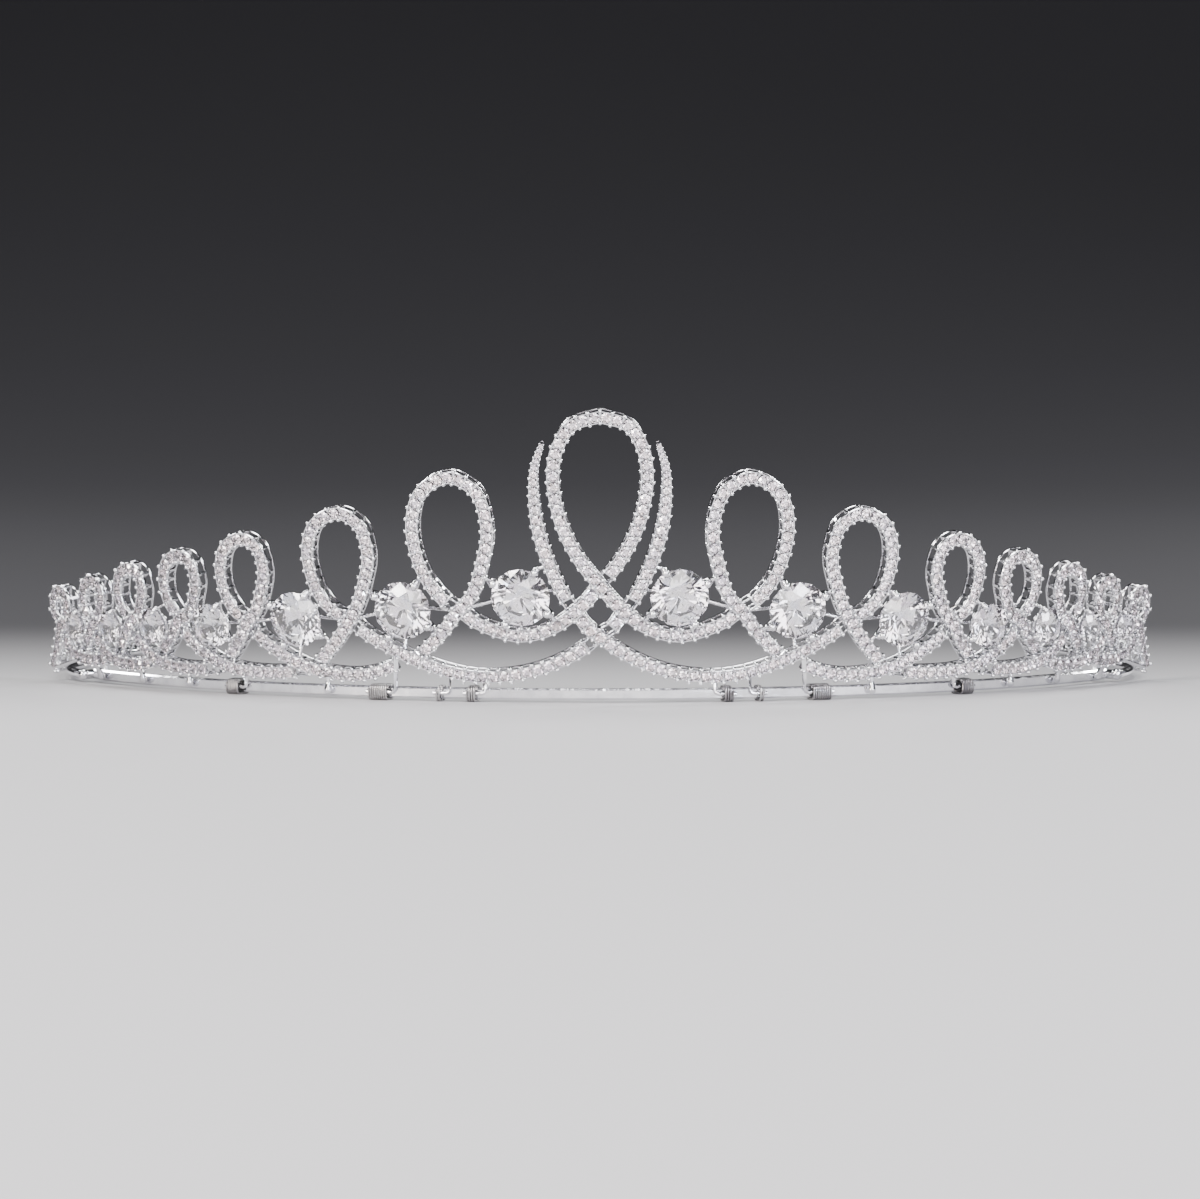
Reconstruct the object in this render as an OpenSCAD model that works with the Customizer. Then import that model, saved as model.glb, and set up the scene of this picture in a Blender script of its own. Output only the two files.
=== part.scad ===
// A bridal tiara: a bent headband with hairpin eyelets, and in front of it a leaning wall of
// looped ribbons that carry fourteen round stones in four-prong settings.
// X runs to the right, Y to the back and Z up. The tiara rests on the plane z = 0.
// Places on the wall are [along, up]: millimetres along its base from the centre line, and
// millimetres up its leaning height. Only the right half is described: the left one mirrors it.

/* [Headband] */
// Radius of the headband's centre line
band_r = 82; // [81:0.5:84]
// Half of the angle that the headband turns through
band_half_angle = 59.6; // [59:0.2:61]
// Height of the headband's section
band_h = 1.5; // [1.4:0.1:1.8]
// Thickness of the headband's section
band_t = 1.2; // [1:0.1:1.3]

/* [Tail wires] */
// Diameter of each tail wire
tail_d = 1.3; // [1.1:0.1:1.5]
// Radius of a tail wire's bend
tail_bend_r = 30; // [27:1:34]
// Angle that a tail wire's bend turns through
tail_bend_angle = 34; // [30:1:38]
// Straight run of a tail wire behind its bend
tail_run = 31; // [26:1:36]
// Length of an eyelet from its neck to its round end's centre
eyelet_len = 8; // [7:0.5:9]
// Radius of the eyelet wire's centre line at its round end
eyelet_r = 1.75; // [1.6:0.05:2]
// Diameter of the eyelet's wire
eyelet_d = 1.1; // [1:0.05:1.2]

/* [Openwork] */
// Radius of the wall's base
wall_r = 90; // [88:1:92]
// Forward lean of the wall, in degrees
lean = 14; // [10:1:16]
// Distance that the wall's base stands in front of the headband's middle at the centre line
wall_front = 0.5; // [0.4:0.1:0.8]
// Width of a ribbon, seen from the front
ribbon_w = 2.1; // [1.9:0.05:2.2]
// Thickness of a ribbon, across the wall
ribbon_t = 1.9; // [1.7:0.1:2.1]
// Height of the central loop's top
crest_h = 37.5; // [36:0.5:39]
// Half of the central loop's width
crest_half_w = 6.3; // [6:0.1:6.6]
// Width that is left at a horn's tip
horn_tip_w = 0.7; // [0.5:0.1:1.2]
// Length over which a horn tapers
horn_taper = 12; // [8:1:16]

/* [Settings and stones] */
// Width of a stone's table, as a share of its diameter
table_share = 0.56; // [0.5:0.01:0.6]
// Height of the crown, as a share of the diameter
crown_share = 0.15; // [0.12:0.01:0.18]
// Depth of the pavilion, as a share of the diameter
pavilion_share = 0.43; // [0.4:0.01:0.45]
// Clearance between a stone and its prongs
stone_gap = 0.04; // [0.03:0.01:0.08]

/* [Lashings] */
// Thickness of a lashing's wall
lashing_t = 0.3; // [0.25:0.05:0.4]
// Clearance inside a lashing
lashing_gap = 0.06; // [0.04:0.01:0.1]
// Radius of the foot wires that the lashings hold
foot_r = 0.3; // [0.25:0.05:0.35]

/* [Hidden] */
STONE_COUNT = 7;
RIGHT = [for (k = [1:STONE_COUNT]) str("stone_r", k)];
LEFT = [for (k = [1:STONE_COUNT]) str("stone_l", k)];

// One row per loop, from the centre outwards. The ribbon starts at the tail, runs up through
// the crossing, round the loop, through the crossing again and along the smile to its end.
CROSS_S = 0;
CROSS_H = 1;
AXIS_S = 2;
HALF_W = 3;
TOP_H = 4;
TAIL_S = 5;
TAIL_H = 6;
SAG_S = 7;
SAG_H = 8;
SAG_POWER = 9;
END_S = 10;
END_H = 11;
END_POWER = 12;
LOOPS = [
    // cross_s, cross_h, axis_s, half_w, top_h, tail_s, tail_h, sag_s, sag_h, power, end_s, end_h, power
    [19.3, 10.2, 20.4, 5.20, 29.0, 25.4, 3.4, 11.0, 6.9, 1.5, 0.0, 14.0, 2.1],
    [34.8, 8.6, 36.4, 4.50, 23.8, 40.2, 1.9, 16.0, 1.1, 1.7, 0.0, 6.8, 2.3],
    [50.7, 7.9, 51.5, 3.60, 19.9, 54.6, 2.0, 34.5, 1.0, 2.2, 28.3, 2.5, 2.0],
    [62.9, 7.7, 62.6, 3.00, 17.2, 67.0, 2.2, 47.0, 1.0, 2.9, 41.8, 1.4, 2.0],
    [72.6, 7.0, 72.6, 2.60, 15.0, 75.7, 2.4, 59.0, 1.0, 3.4, 56.3, 1.2, 2.0],
    [81.3, 6.2, 81.3, 2.25, 12.8, 83.9, 2.3, 71.0, 1.1, 3.4, 68.6, 1.6, 2.0],
    [90.0, 5.6, 89.9, 2.00, 10.9, 92.4, -0.5, 80.5, 1.3, 3.4, 78.4, 1.6, 2.0]
];
TAIL_PULL = [0.42, 0.58];
SMILE_STEPS = [2, 4, 3, 3, 3, 3, 3];
END_STEPS = [3, 4, 2, 2, 1, 1, 1];

// A side loop's outline from crossing to crossing: [across, up], in half widths and heights
LOOP_SHAPE = [
    [-0.62, 0.14], [-0.86, 0.36], [-1.00, 0.61], [-0.74, 0.88], [0.00, 1.00],
    [0.76, 0.885], [1.00, 0.65], [0.83, 0.38], [0.42, 0.165]
];
// The central loop's outline from its crossing to its top, in the same units
CREST_SHAPE = [
    [0.30, 0.10], [0.59, 0.225], [0.825, 0.37], [0.96, 0.525], [1.00, 0.67], [0.90, 0.82],
    [0.59, 0.95], [0.00, 1.00]
];
// A horn's middle line above the horns' crossing: [along, up]
HORN_SHAPE = [
    [1.5, 7.95], [3.5, 10.4], [5.2, 13.3], [6.6, 16.4], [7.7, 19.6], [8.5, 23.0], [8.9, 26.8],
    [8.8, 30.4], [7.8, 33.7]
];

// One row per stone of a side, from the centre outwards
STONE_S = 0;
STONE_H = 1;
STONE_D = 2;
STONE_OUT = 3;
STONES = [
    // along, up, diameter, distance of the girdle in front of the wall
    [10.7, 12.3, 8.0, 0.0], [27.0, 10.3, 8.0, 0.0], [42.8, 8.7, 7.7, 0.1], [56.7, 7.4, 6.2, 0.4],
    [67.6, 7.0, 5.1, 0.5], [76.7, 6.5, 4.5, 0.5], [85.3, 6.1, 4.2, 0.5]
];
FIRST_PRONG = 30;
// Shares of the stone's radius: the ring's radius, its depth behind the girdle, a prong's radius
// and a prong tip's distance from the axis
RING_SHARE = 0.6;
RING_DROP = 0.53;
PRONG_SHARE = 0.1;
TIP_SHARE = 1.05;
// Shares of a prong's radius: its ball tip and its root, which is also the struts' radius
BALL_SHARE = 1.3;
ROOT_SHARE = 0.64;
// Least clearance between a straight prong and the girdle's corners
PRONG_CLEAR = 0.04;
STRUT_OUT = -0.75;
RING_STEPS = 8;

// Posts from the ribbons to the headband, by their place along the wall
BEAD_POSTS = [38, 62, 72, 83];
// One row per lashing and its foot: place along the wall, length
LASH_S = 0;
LASH_L = 1;
LASHINGS = [[15.6, 1.6], [20.4, 1.0], [28.0, 3.0], [51.5, 2.4]];
POST_R = 0.4;
BEAD_R = 0.55;
// Clearance between the headband and a foot, and the deepest place of a post's top in a ribbon
FOOT_GAP = 0.16;
FOOT_DEEP = -1.1;
// How far a post's top stays under its ribbon's middle line
FOOT_LOW = 0.3;
// Where a lashing starts past its post, and how far the foot runs out beyond it
LASH_AT = 0.8;
LASH_END = 0.4;
// The two plain struts under the last smile: each from [along, up] to [along, up]
STRUTS = [[[89.2, 3.1], [91.9, -0.3]], [[85.0, 1.2], [91.7, -0.4]]];

// Distance of the ribbons' front faces in front of the wall
RIBBON_FRONT = 0.2;
// Height of the wall's base over the headband's top
WALL_OVER = 0.45;
// Tail wires: gap beside the headband's end, length of the cross wire inside it, height of its
// turned-up tip, turn between the two wires, and how much larger a solder bead is than the wire
TAIL_GAP = 0.8;
HOOK_IN = 1;
HOOK_TIP = 2;
TAIL_TURN = 6;
BEAD_MORE = 0.3;

WIRE_FN = 48;
STRUT_FN = 4;
PRONG_FN = 5;
// Turn of a line, in degrees, that takes one more point
TURN_STEP = 28;
// A straight wire runs over the end of a bent one by JOIN, and is SLEEVE larger in radius
JOIN = 0.2;
SLEEVE = 0.02;

wall_z = band_h / 2 + WALL_OVER;
rest_z = band_h / 2 + lashing_gap + lashing_t;
front_y = -wall_front - (crest_h + ribbon_w / 2) * sin(lean) - RIBBON_FRONT * cos(lean);

// Tail wire: where it starts, where its bend ends and where the eyelet's neck is
tail_out = band_t / 2 + tail_d / 2 + TAIL_GAP;
band_end = [band_r * sin(band_half_angle), band_r * (1 - cos(band_half_angle))];
band_end_out = [sin(band_half_angle), -cos(band_half_angle)];
tail_start = band_end + tail_out * band_end_out;
tail_heading = band_half_angle + TAIL_TURN;
tail_end_heading = tail_heading + tail_bend_angle;
tail_centre = tail_start + tail_bend_r * [-sin(tail_heading), cos(tail_heading)];
bend_end = tail_centre + tail_bend_r * [sin(tail_end_heading), -cos(tail_end_heading)];
neck = bend_end + tail_run * [cos(tail_end_heading), sin(tail_end_heading)];
eyelet_centre = neck + eyelet_len * [cos(tail_end_heading), sin(tail_end_heading)];
rear_y = eyelet_centre[1] + eyelet_r + eyelet_d / 2;
shift = [0, -(front_y + rear_y) / 2, rest_z];

function unit(v) = v / norm(v);

// The wall: a point of its surface, and the directions along it, up it and out of it
function wall_point(p) =
    let (a = p[0] / wall_r * 180 / PI)
    [
        wall_r * sin(a),
        -wall_front + wall_r * (1 - cos(a)) - p[1] * sin(lean),
        wall_z + p[1] * cos(lean)
    ];
function along_at(s) = let (a = s / wall_r * 180 / PI) [cos(a), sin(a), 0];
function out_at(s) = unit(cross(along_at(s), [0, -sin(lean), cos(lean)]));
function up_at(s) = cross(out_at(s), along_at(s));
function placed(p, out) = wall_point(p) + out * out_at(p[0]);

// Ribbon middle lines on the wall
function curve_down(from, to, pull, t) =
    let (c = from + [(to[0] - from[0]) * pull[0], (to[1] - from[1]) * pull[1]])
    (1 - t) * (1 - t) * from + 2 * t * (1 - t) * c + t * t * to;
function smile_h(row, s) =
    s >= row[SAG_S]
        ? row[SAG_H] + (row[CROSS_H] - row[SAG_H])
            * pow((s - row[SAG_S]) / (row[CROSS_S] - row[SAG_S]), row[SAG_POWER])
        : row[SAG_H] + (row[END_H] - row[SAG_H])
            * pow((row[SAG_S] - s) / (row[SAG_S] - row[END_S]), row[END_POWER]);
function tail_points(row) =
    [for (t = [1, 0.67, 0.34])
        curve_down([row[CROSS_S], row[CROSS_H]], [row[TAIL_S], row[TAIL_H]], TAIL_PULL, t)];
function loop_points(row) =
    [for (q = LOOP_SHAPE)
        [row[AXIS_S] + q[0] * row[HALF_W], row[CROSS_H] + q[1] * (row[TOP_H] - row[CROSS_H])]];
function smile_points(row, steps, end_steps) =
    concat(
        [for (i = [1:steps])
            let (s = row[CROSS_S] + (row[SAG_S] - row[CROSS_S]) * i / steps)
            [s, smile_h(row, s)]],
        [for (i = [1:end_steps])
            let (s = row[SAG_S] + (row[END_S] - row[SAG_S]) * i / end_steps)
            [s, smile_h(row, s)]]
    );
function crest_points(row) =
    [for (q = CREST_SHAPE) [-q[0] * crest_half_w, row[END_H] + q[1] * (crest_h - row[END_H])]];
function horn_points() = [for (q = HORN_SHAPE) [-q[0], q[1]]];
function strand_points(k) =
    let (row = LOOPS[k], crossing = [row[CROSS_S], row[CROSS_H]])
    concat(
        tail_points(row), [crossing], loop_points(row), [crossing],
        smile_points(row, SMILE_STEPS[k], END_STEPS[k]),
        k == 0 ? crest_points(row) : k == 1 ? horn_points() : []
    );

// A smooth line through a list of points, with a new point wherever it turns by TURN_STEP
function spline(a, b, c, d, t) =
    0.5 * (2 * b + (c - a) * t + (2 * a - 5 * b + 4 * c - d) * t * t
        + (3 * b - 3 * c + d - a) * t * t * t);
function smooth(p) =
    let (n = len(p))
    concat(
        [for (i = [0:n - 2])
            let (
                a = i == 0 ? 2 * p[0] - p[1] : p[i - 1],
                d = i == n - 2 ? 2 * p[n - 1] - p[n - 2] : p[i + 2],
                turn = acos(min(1, unit(p[i + 1] - a) * unit(d - p[i]))),
                steps = max(1, round(turn / TURN_STEP))
            )
            for (j = [0:steps - 1]) spline(a, p[i], p[i + 1], d, j / steps)],
        [p[n - 1]]
    );
function lengths(p, i = 0, sum = 0) =
    i == len(p) - 1 ? [sum] : concat([sum], lengths(p, i + 1, sum + norm(p[i + 1] - p[i])));

// The skin over a row of sections that have the same number of corners
module skin(corners, sides, closed = false) {
    n = len(corners) / sides;
    walls = [for (i = [0:n - (closed ? 1 : 2)], j = [0:sides - 1])
        let (a = i * sides + j, b = i * sides + (j + 1) % sides)
        let (c = (a + sides) % (n * sides), d = (b + sides) % (n * sides))
        each [[a, c, d], [a, d, b]]];
    ends = [[for (j = [0:sides - 1]) j], [for (j = [1:sides]) n * sides - j]];
    polyhedron(corners, closed ? walls : concat(walls, ends));
}

// A ribbon along the first to the last of some points of the wall, with its width at each
module ribbon(p, widths, first, last) {
    middle = [for (q = p) wall_point(q)];
    end = len(p) - 1;
    skin([for (i = [first:last])
        let (
            go = unit(middle[min(i + 1, end)] - middle[max(i - 1, 0)]),
            out = out_at(p[i][0]),
            side = unit(cross(out, go)) * widths[i] / 2,
            face = out * RIBBON_FRONT,
            back = out * (RIBBON_FRONT - ribbon_t)
        )
        for (way = [side + face, face - side, back - side, side + back]) middle[i] + way], 4);
}

// A strand is two ribbons that meet at its loop's top, because it crosses itself below. The
// central loop's strand gets a point more, past the centre line, that only steers its end.
module strand(k) {
    p = smooth(strand_points(k));
    last = len(p) - 1;
    run = lengths(p);
    widths = [for (d = run)
        k == 1 && run[last] - d < horn_taper
            ? horn_tip_w + (ribbon_w - horn_tip_w) * pow((run[last] - d) / horn_taper, 0.7)
            : ribbon_w];
    away = [for (q = p) norm(q - [LOOPS[k][AXIS_S], LOOPS[k][TOP_H]])];
    top = search(min(away), away)[0];
    steered = k == 0 ? concat(p, [[-p[last - 1][0], p[last - 1][1]]]) : p;
    ribbon(steered, widths, 0, top);
    ribbon(steered, widths, top, last);
}

// A straight wire between two points, and a ball
module rod(from, to, r) {
    go = to - from;
    length = norm(go);
    translate(from) rotate([0, acos(go[2] / length), atan2(go[1], go[0])])
        cylinder(r = r, h = length, $fn = STRUT_FN);
}
module ball(at, r) {
    translate(at) sphere(r = r, $fn = PRONG_FN);
}
// A wire through points of one plane. flat is the plane's normal, radii its radius at each point.
module bent_wire(points, radii, flat) {
    n = len(points);
    skin([for (i = [0:n - 1])
        let (go = unit(points[min(i + 1, n - 1)] - points[max(i - 1, 0)]), side = cross(go, flat))
        for (j = [0:PRONG_FN - 1])
            let (a = 360 / PRONG_FN * j) points[i] + radii[i] * (cos(a) * flat + sin(a) * side)],
        PRONG_FN);
}

// A four-prong setting for stone k, with its struts to the ribbons round it
module setting(k) {
    stone = STONES[k];
    s = stone[STONE_S];
    r = stone[STONE_D] / 2;
    out = out_at(s);
    along = along_at(s);
    up = up_at(s);
    centre = placed([s, stone[STONE_H]], stone[STONE_OUT]);
    ring_r = RING_SHARE * r;
    ring_at = centre - RING_DROP * r * out;
    wire_r = PRONG_SHARE * r + 0.02;
    root_r = wire_r * ROOT_SHARE;
    ball_r = wire_r * BALL_SHARE;

    // The wire ring behind the stone
    skin([for (i = [0:RING_STEPS - 1])
        let (a = FIRST_PRONG + 360 / RING_STEPS * i, way = cos(a) * along + sin(a) * up)
        for (corner = [way, -out, -way, out]) ring_at + ring_r * way + wire_r * corner],
        4, closed = true);
    // The prongs, each bent over the girdle and ending in a ball on the crown's edge
    side_r = r + 1.5 * wire_r + stone_gap + PRONG_CLEAR;
    tip_r = TIP_SHARE * r;
    slope = atan2(crown_share, (1 - table_share) / 2);
    tip_out = 0.03 * r + (ball_r + stone_gap - (tip_r - r) * sin(slope)) / cos(slope);
    for (i = [0:3]) {
        a = FIRST_PRONG + 90 * i;
        way = cos(a) * along + sin(a) * up;
        foot = ring_at + ring_r * way;
        knee = centre + side_r * way - wire_r / 4 * out;
        tip = centre + tip_r * way + tip_out * out;
        over = unit(tip - knee) * ball_r;
        bent_wire(
            [foot, knee, tip - 0.3 * over, tip + 0.6 * over],
            [root_r, wire_r, ball_r, 0.7 * ball_r],
            cross(out, way)
        );
    }
    // Struts to the crossing outside it, to the one inside it and to the smile below
    inside = k == 0 ? HORN_SHAPE[2] : [LOOPS[k - 1][CROSS_S], LOOPS[k - 1][CROSS_H]];
    targets = [
        [LOOPS[k][CROSS_S], LOOPS[k][CROSS_H]],
        inside,
        [s, smile_h(LOOPS[k], s)]
    ];
    for (target = targets) {
        goal = placed(target, STRUT_OUT);
        across = (goal - ring_at) * along;
        rise = (goal - ring_at) * up;
        way = unit([across, rise]);
        rod(ring_at + ring_r * (way[0] * along + way[1] * up), goal, root_r);
    }
}

// The headband's angle nearest to a place on the wall, and a point out from the headband there
function band_angle(s) = let (w = wall_point([s, 0])) atan2(w[0], band_r - w[1]);
function band_point(angle, out) =
    [(band_r + out) * sin(angle), band_r - (band_r + out) * cos(angle), 0];
// The lowest ribbon that passes over a place along the wall
function foot_row(s) = max([for (k = [0:len(LOOPS) - 1]) LOOPS[k][END_S] <= s ? k : 0]);
// Inside that ribbon, as straight above a foot as its thickness allows
function foot_top(s, foot_at) =
    let (
        w = wall_point([s, 0]),
        wall_out = norm([w[0], w[1] - band_r]) - band_r,
        out = max(FOOT_DEEP, min(-POST_R / 2, foot_at - wall_out))
    )
    placed([s, smile_h(LOOPS[foot_row(s)], s) - FOOT_LOW], out);

module bead_post(s) {
    foot_at = band_t / 2 + BEAD_R + lashing_gap;
    hull() {
        ball(foot_top(s, foot_at), POST_R);
        ball(band_point(band_angle(s), foot_at), BEAD_R);
    }
}

foot_out = band_t / 2 + FOOT_GAP + foot_r;
module lashed_post(row) {
    angle = band_angle(row[LASH_S]);
    low = band_point(angle, foot_out);
    end = band_point(angle + (LASH_AT + row[LASH_L] + LASH_END) / band_r * 180 / PI, foot_out);
    top = foot_top(row[LASH_S], foot_out);
    bent_wire([top, low, end], [foot_r, foot_r, foot_r], unit(cross(end - low, top - low)));
}

// A lashing: a tight sleeve of wire round the headband and a foot
module lashing(row) {
    angle = band_angle(row[LASH_S]) + (LASH_AT + row[LASH_L] / 2) / band_r * 180 / PI;
    inner = [band_t / 2 + lashing_gap, foot_out + foot_r + lashing_gap];
    half = band_h / 2 + lashing_gap;
    translate(band_point(angle, 0) + shift) rotate([90, 0, angle - 90])
        translate([0, 0, -row[LASH_L] / 2]) linear_extrude(row[LASH_L]) difference() {
            translate([-inner[0] - lashing_t, -half - lashing_t])
                square([inner[0] + inner[1] + 2 * lashing_t, 2 * (half + lashing_t)]);
            translate([-inner[0], -half]) square([inner[0] + inner[1], 2 * half]);
        }
}

module openwork_half() {
    for (k = [0:len(LOOPS) - 1]) strand(k);
    for (k = [0:STONE_COUNT - 1]) setting(k);
    for (s = BEAD_POSTS) bead_post(s);
    for (row = LASHINGS) lashed_post(row);
    for (q = STRUTS) rod(placed(q[0], 0), placed(q[1], 0), POST_R);
}

module openwork() {
    color("gainsboro") translate(shift) {
        openwork_half();
        mirror([1, 0, 0]) openwork_half();
    }
}

// The headband's section, in the plane that a rotate_extrude turns: a strip with bevelled edges
module band_section() {
    bevel = band_t / 5;
    side = band_t / 2;
    top = band_h / 2;
    translate([band_r, 0]) polygon([
        [side, bevel - top], [side, top - bevel], [side - bevel, top], [bevel - side, top],
        [-side, top - bevel], [-side, bevel - top], [bevel - side, -top], [side - bevel, -top]
    ]);
}

module wire_arc(centre, radius, d, start, angle) {
    translate([centre[0], centre[1], 0]) rotate([0, 0, start])
        rotate_extrude(angle = angle, $fn = 2 * WIRE_FN) translate([radius, 0])
            circle(d = d, $fn = WIRE_FN);
}
module flat_rod(from, to, d) {
    go = to - from;
    translate([from[0], from[1], 0]) rotate([0, 0, atan2(go[1], go[0])]) rotate([0, 90, 0])
        cylinder(d = d, h = norm(go), $fn = WIRE_FN);
}

// The tail wire: a cross wire under the headband's end, a bend, a straight run and an eyelet
module tail() {
    way = [cos(tail_end_heading), sin(tail_end_heading)];
    side = [-way[1], way[0]];
    spread = asin(eyelet_r / eyelet_len);
    leg = sqrt(pow(eyelet_len, 2) - pow(eyelet_r, 2));
    hook = band_end - (band_t / 2 + HOOK_IN) * band_end_out;
    flat_rod(hook, tail_start, tail_d);
    translate([hook[0], hook[1], 0]) cylinder(d = tail_d, h = HOOK_TIP, $fn = WIRE_FN);
    for (bead = [hook, tail_start, neck])
        translate([bead[0], bead[1], 0]) sphere(d = tail_d + BEAD_MORE, $fn = WIRE_FN);
    wire_arc(tail_centre, tail_bend_r, tail_d, tail_heading - 90, tail_bend_angle);
    flat_rod(bend_end - JOIN * way, neck, tail_d + 2 * SLEEVE);
    for (turn = [-1, 1]) {
        leg_way = cos(spread) * way + turn * sin(spread) * side;
        flat_rod(neck, neck + (leg + JOIN) * leg_way, eyelet_d + 2 * SLEEVE);
    }
    wire_arc(eyelet_centre, eyelet_r, eyelet_d, tail_end_heading - 90 - spread, 180 + 2 * spread);
}

module headband() {
    color("silver") translate(shift) {
        translate([0, band_r, 0]) rotate([0, 0, -90 - band_half_angle])
            rotate_extrude(angle = 2 * band_half_angle, $fn = 4 * WIRE_FN) band_section();
        tail();
        mirror([1, 0, 0]) tail();
    }
}

// A round brilliant of girdle radius 1, with its girdle's middle at z = 0
STONE_SIDES = 8;
GIRDLE = 0.02;
STAR_R = 0.8;
LOWER_R = 0.25;
function ring(count, r, z, turn = 0) =
    [for (i = [0:count - 1]) let (a = 360 / count * i + turn) [r * cos(a), r * sin(a), z]];
// Height of a main facet's plane at radius r on its own middle line or, at mid, between two
function facet_z(r, from_r, z, mid) = z * (1 - (r * cos(mid) - from_r) / (1 - from_r));
module brilliant() {
    n = STONE_SIDES;
    half = 180 / n;
    crown = 2 * crown_share;
    pavilion = 2 * pavilion_share;
    points = concat(
        ring(n, table_share, GIRDLE + crown),
        ring(n, STAR_R, GIRDLE + facet_z(STAR_R, table_share, crown, half), half),
        ring(2 * n, 1, GIRDLE),
        ring(2 * n, 1, -GIRDLE),
        ring(n, LOWER_R, -GIRDLE - facet_z(LOWER_R, 0, pavilion, half), half),
        [[0, 0, -GIRDLE - pavilion]]
    );
    table = 0;
    star = n;
    upper = 2 * n;
    lower = 4 * n;
    keel = 6 * n;
    culet = 7 * n;
    facets = [for (i = [0:n - 1])
        let (j = (i + 1) % n, h = (i + n - 1) % n)
        each [
            [table + j, star + i, table + i],
            [star + i, upper + 2 * i, star + h, table + i],
            [upper + 2 * i + 1, upper + 2 * i, star + i],
            [upper + 2 * j, upper + 2 * i + 1, star + i],
            [upper + 2 * i + 1, lower + 2 * i + 1, lower + 2 * i, upper + 2 * i],
            [upper + 2 * j, lower + 2 * j, lower + 2 * i + 1, upper + 2 * i + 1],
            [lower + 2 * i, lower + 2 * i + 1, keel + i],
            [lower + 2 * i + 1, lower + 2 * j, keel + i],
            [keel + h, lower + 2 * i, keel + i, culet]
        ]];
    polyhedron(points, concat([[for (i = [n - 1:-1:0]) i]], facets));
}

module main_stone(k) {
    stone = STONES[k];
    s = stone[STONE_S];
    along = along_at(s);
    up = up_at(s);
    out = out_at(s);
    at = placed([s, stone[STONE_H]], stone[STONE_OUT]) + shift;
    r = stone[STONE_D] / 2;
    color("aliceblue")
        multmatrix([for (i = [0:2]) [r * along[i], r * up[i], r * out[i], at[i]]]) brilliant();
}

openwork();
headband();
for (k = [0:STONE_COUNT - 1]) {
    main_stone(k);
    mirror([1, 0, 0]) main_stone(k);
}
for (k = [0:len(LASHINGS) - 1]) {
    color("silver") lashing(LASHINGS[k]);
    color("silver") mirror([1, 0, 0]) lashing(LASHINGS[k]);
}
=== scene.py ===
import logging
import math
from dataclasses import dataclass, field, replace
from enum import Enum
from functools import cached_property
from typing import NamedTuple

import bmesh
import bpy
import numpy as np
from bpy.types import ID, Material, Mesh, Node, NodeSocket, NodeTree, Object
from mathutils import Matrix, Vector


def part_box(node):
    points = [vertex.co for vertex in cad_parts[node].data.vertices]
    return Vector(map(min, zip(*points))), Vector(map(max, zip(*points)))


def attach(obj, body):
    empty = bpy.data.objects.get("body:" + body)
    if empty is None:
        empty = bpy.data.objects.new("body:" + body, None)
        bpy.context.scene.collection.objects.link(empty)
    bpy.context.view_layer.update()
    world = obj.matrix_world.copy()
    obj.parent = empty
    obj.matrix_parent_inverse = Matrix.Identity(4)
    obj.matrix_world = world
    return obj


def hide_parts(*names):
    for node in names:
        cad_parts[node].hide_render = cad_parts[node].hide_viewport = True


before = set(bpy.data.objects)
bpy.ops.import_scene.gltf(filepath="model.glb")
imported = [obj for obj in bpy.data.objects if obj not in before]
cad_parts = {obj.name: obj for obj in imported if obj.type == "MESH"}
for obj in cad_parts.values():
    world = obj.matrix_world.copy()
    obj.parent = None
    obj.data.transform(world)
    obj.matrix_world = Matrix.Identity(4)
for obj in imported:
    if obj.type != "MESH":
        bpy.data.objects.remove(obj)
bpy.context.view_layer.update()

LOG = logging.getLogger("princess_crown")
Array = np.ndarray
Colour = tuple[float, float, float]
# A line's points, the way that its section faces and its thickness at each point
Line = tuple[Array, Array, Array]

BODY = "root"
SOLID_OPENWORK = "openwork"
MM = 0.001
UP = np.array([0.0, 0.0, 1.0])
FRONT = np.array([0.0, -1.0, 0.0])
SHARP_ANGLE = math.radians(50)


class Slot(Enum):
    """The record's material slots."""

    OPENWORK = "openwork_metal"
    LASHING = "lashing_metal"
    STONES = "stones"


class Side(Enum):
    """A half of the tiara, by the sign of its X."""

    RIGHT = 1
    LEFT = -1

    @property
    def letter(self) -> str:
        """The letter that the node names use for this side."""
        return "r" if self is Side.RIGHT else "l"

    @property
    def flip(self) -> Array:
        """What a point on the right is multiplied by to lie on this side."""
        return np.array([float(self.value), 1.0, 1.0])


class Shading(Enum):
    """How a finished mesh is shaded."""

    FACETED = "faceted"
    ROUNDED = "rounded"


# Sizes that the solids share, in millimetres
BAND_R = 82.0
BAND_H = 1.5
BAND_T = 1.2
RIBBON_W = 2.1
RIBBON_FRONT = 0.2
CREST_H = 37.5
CREST_HALF_W = 6.3
HORN_TIP_W = 0.7
HORN_TAPER = 12.0
LASHING_GAP = 0.06
LASHING_T = 0.3
LASH_AT = 0.8
LASH_END = 0.4
FOOT_R = 0.3
FOOT_GAP = 0.16
FOOT_OUT = BAND_T / 2 + FOOT_GAP + FOOT_R
POST_R = 0.4
BEAD_R = 0.55


class LoopRow(NamedTuple):
    """One loop with its tail and its smile, in places on the wall."""

    cross_s: float
    cross_h: float
    axis_s: float
    half_w: float
    top_h: float
    tail_s: float
    tail_h: float
    sag_s: float
    sag_h: float
    sag_power: float
    end_s: float
    end_h: float
    end_power: float


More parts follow.
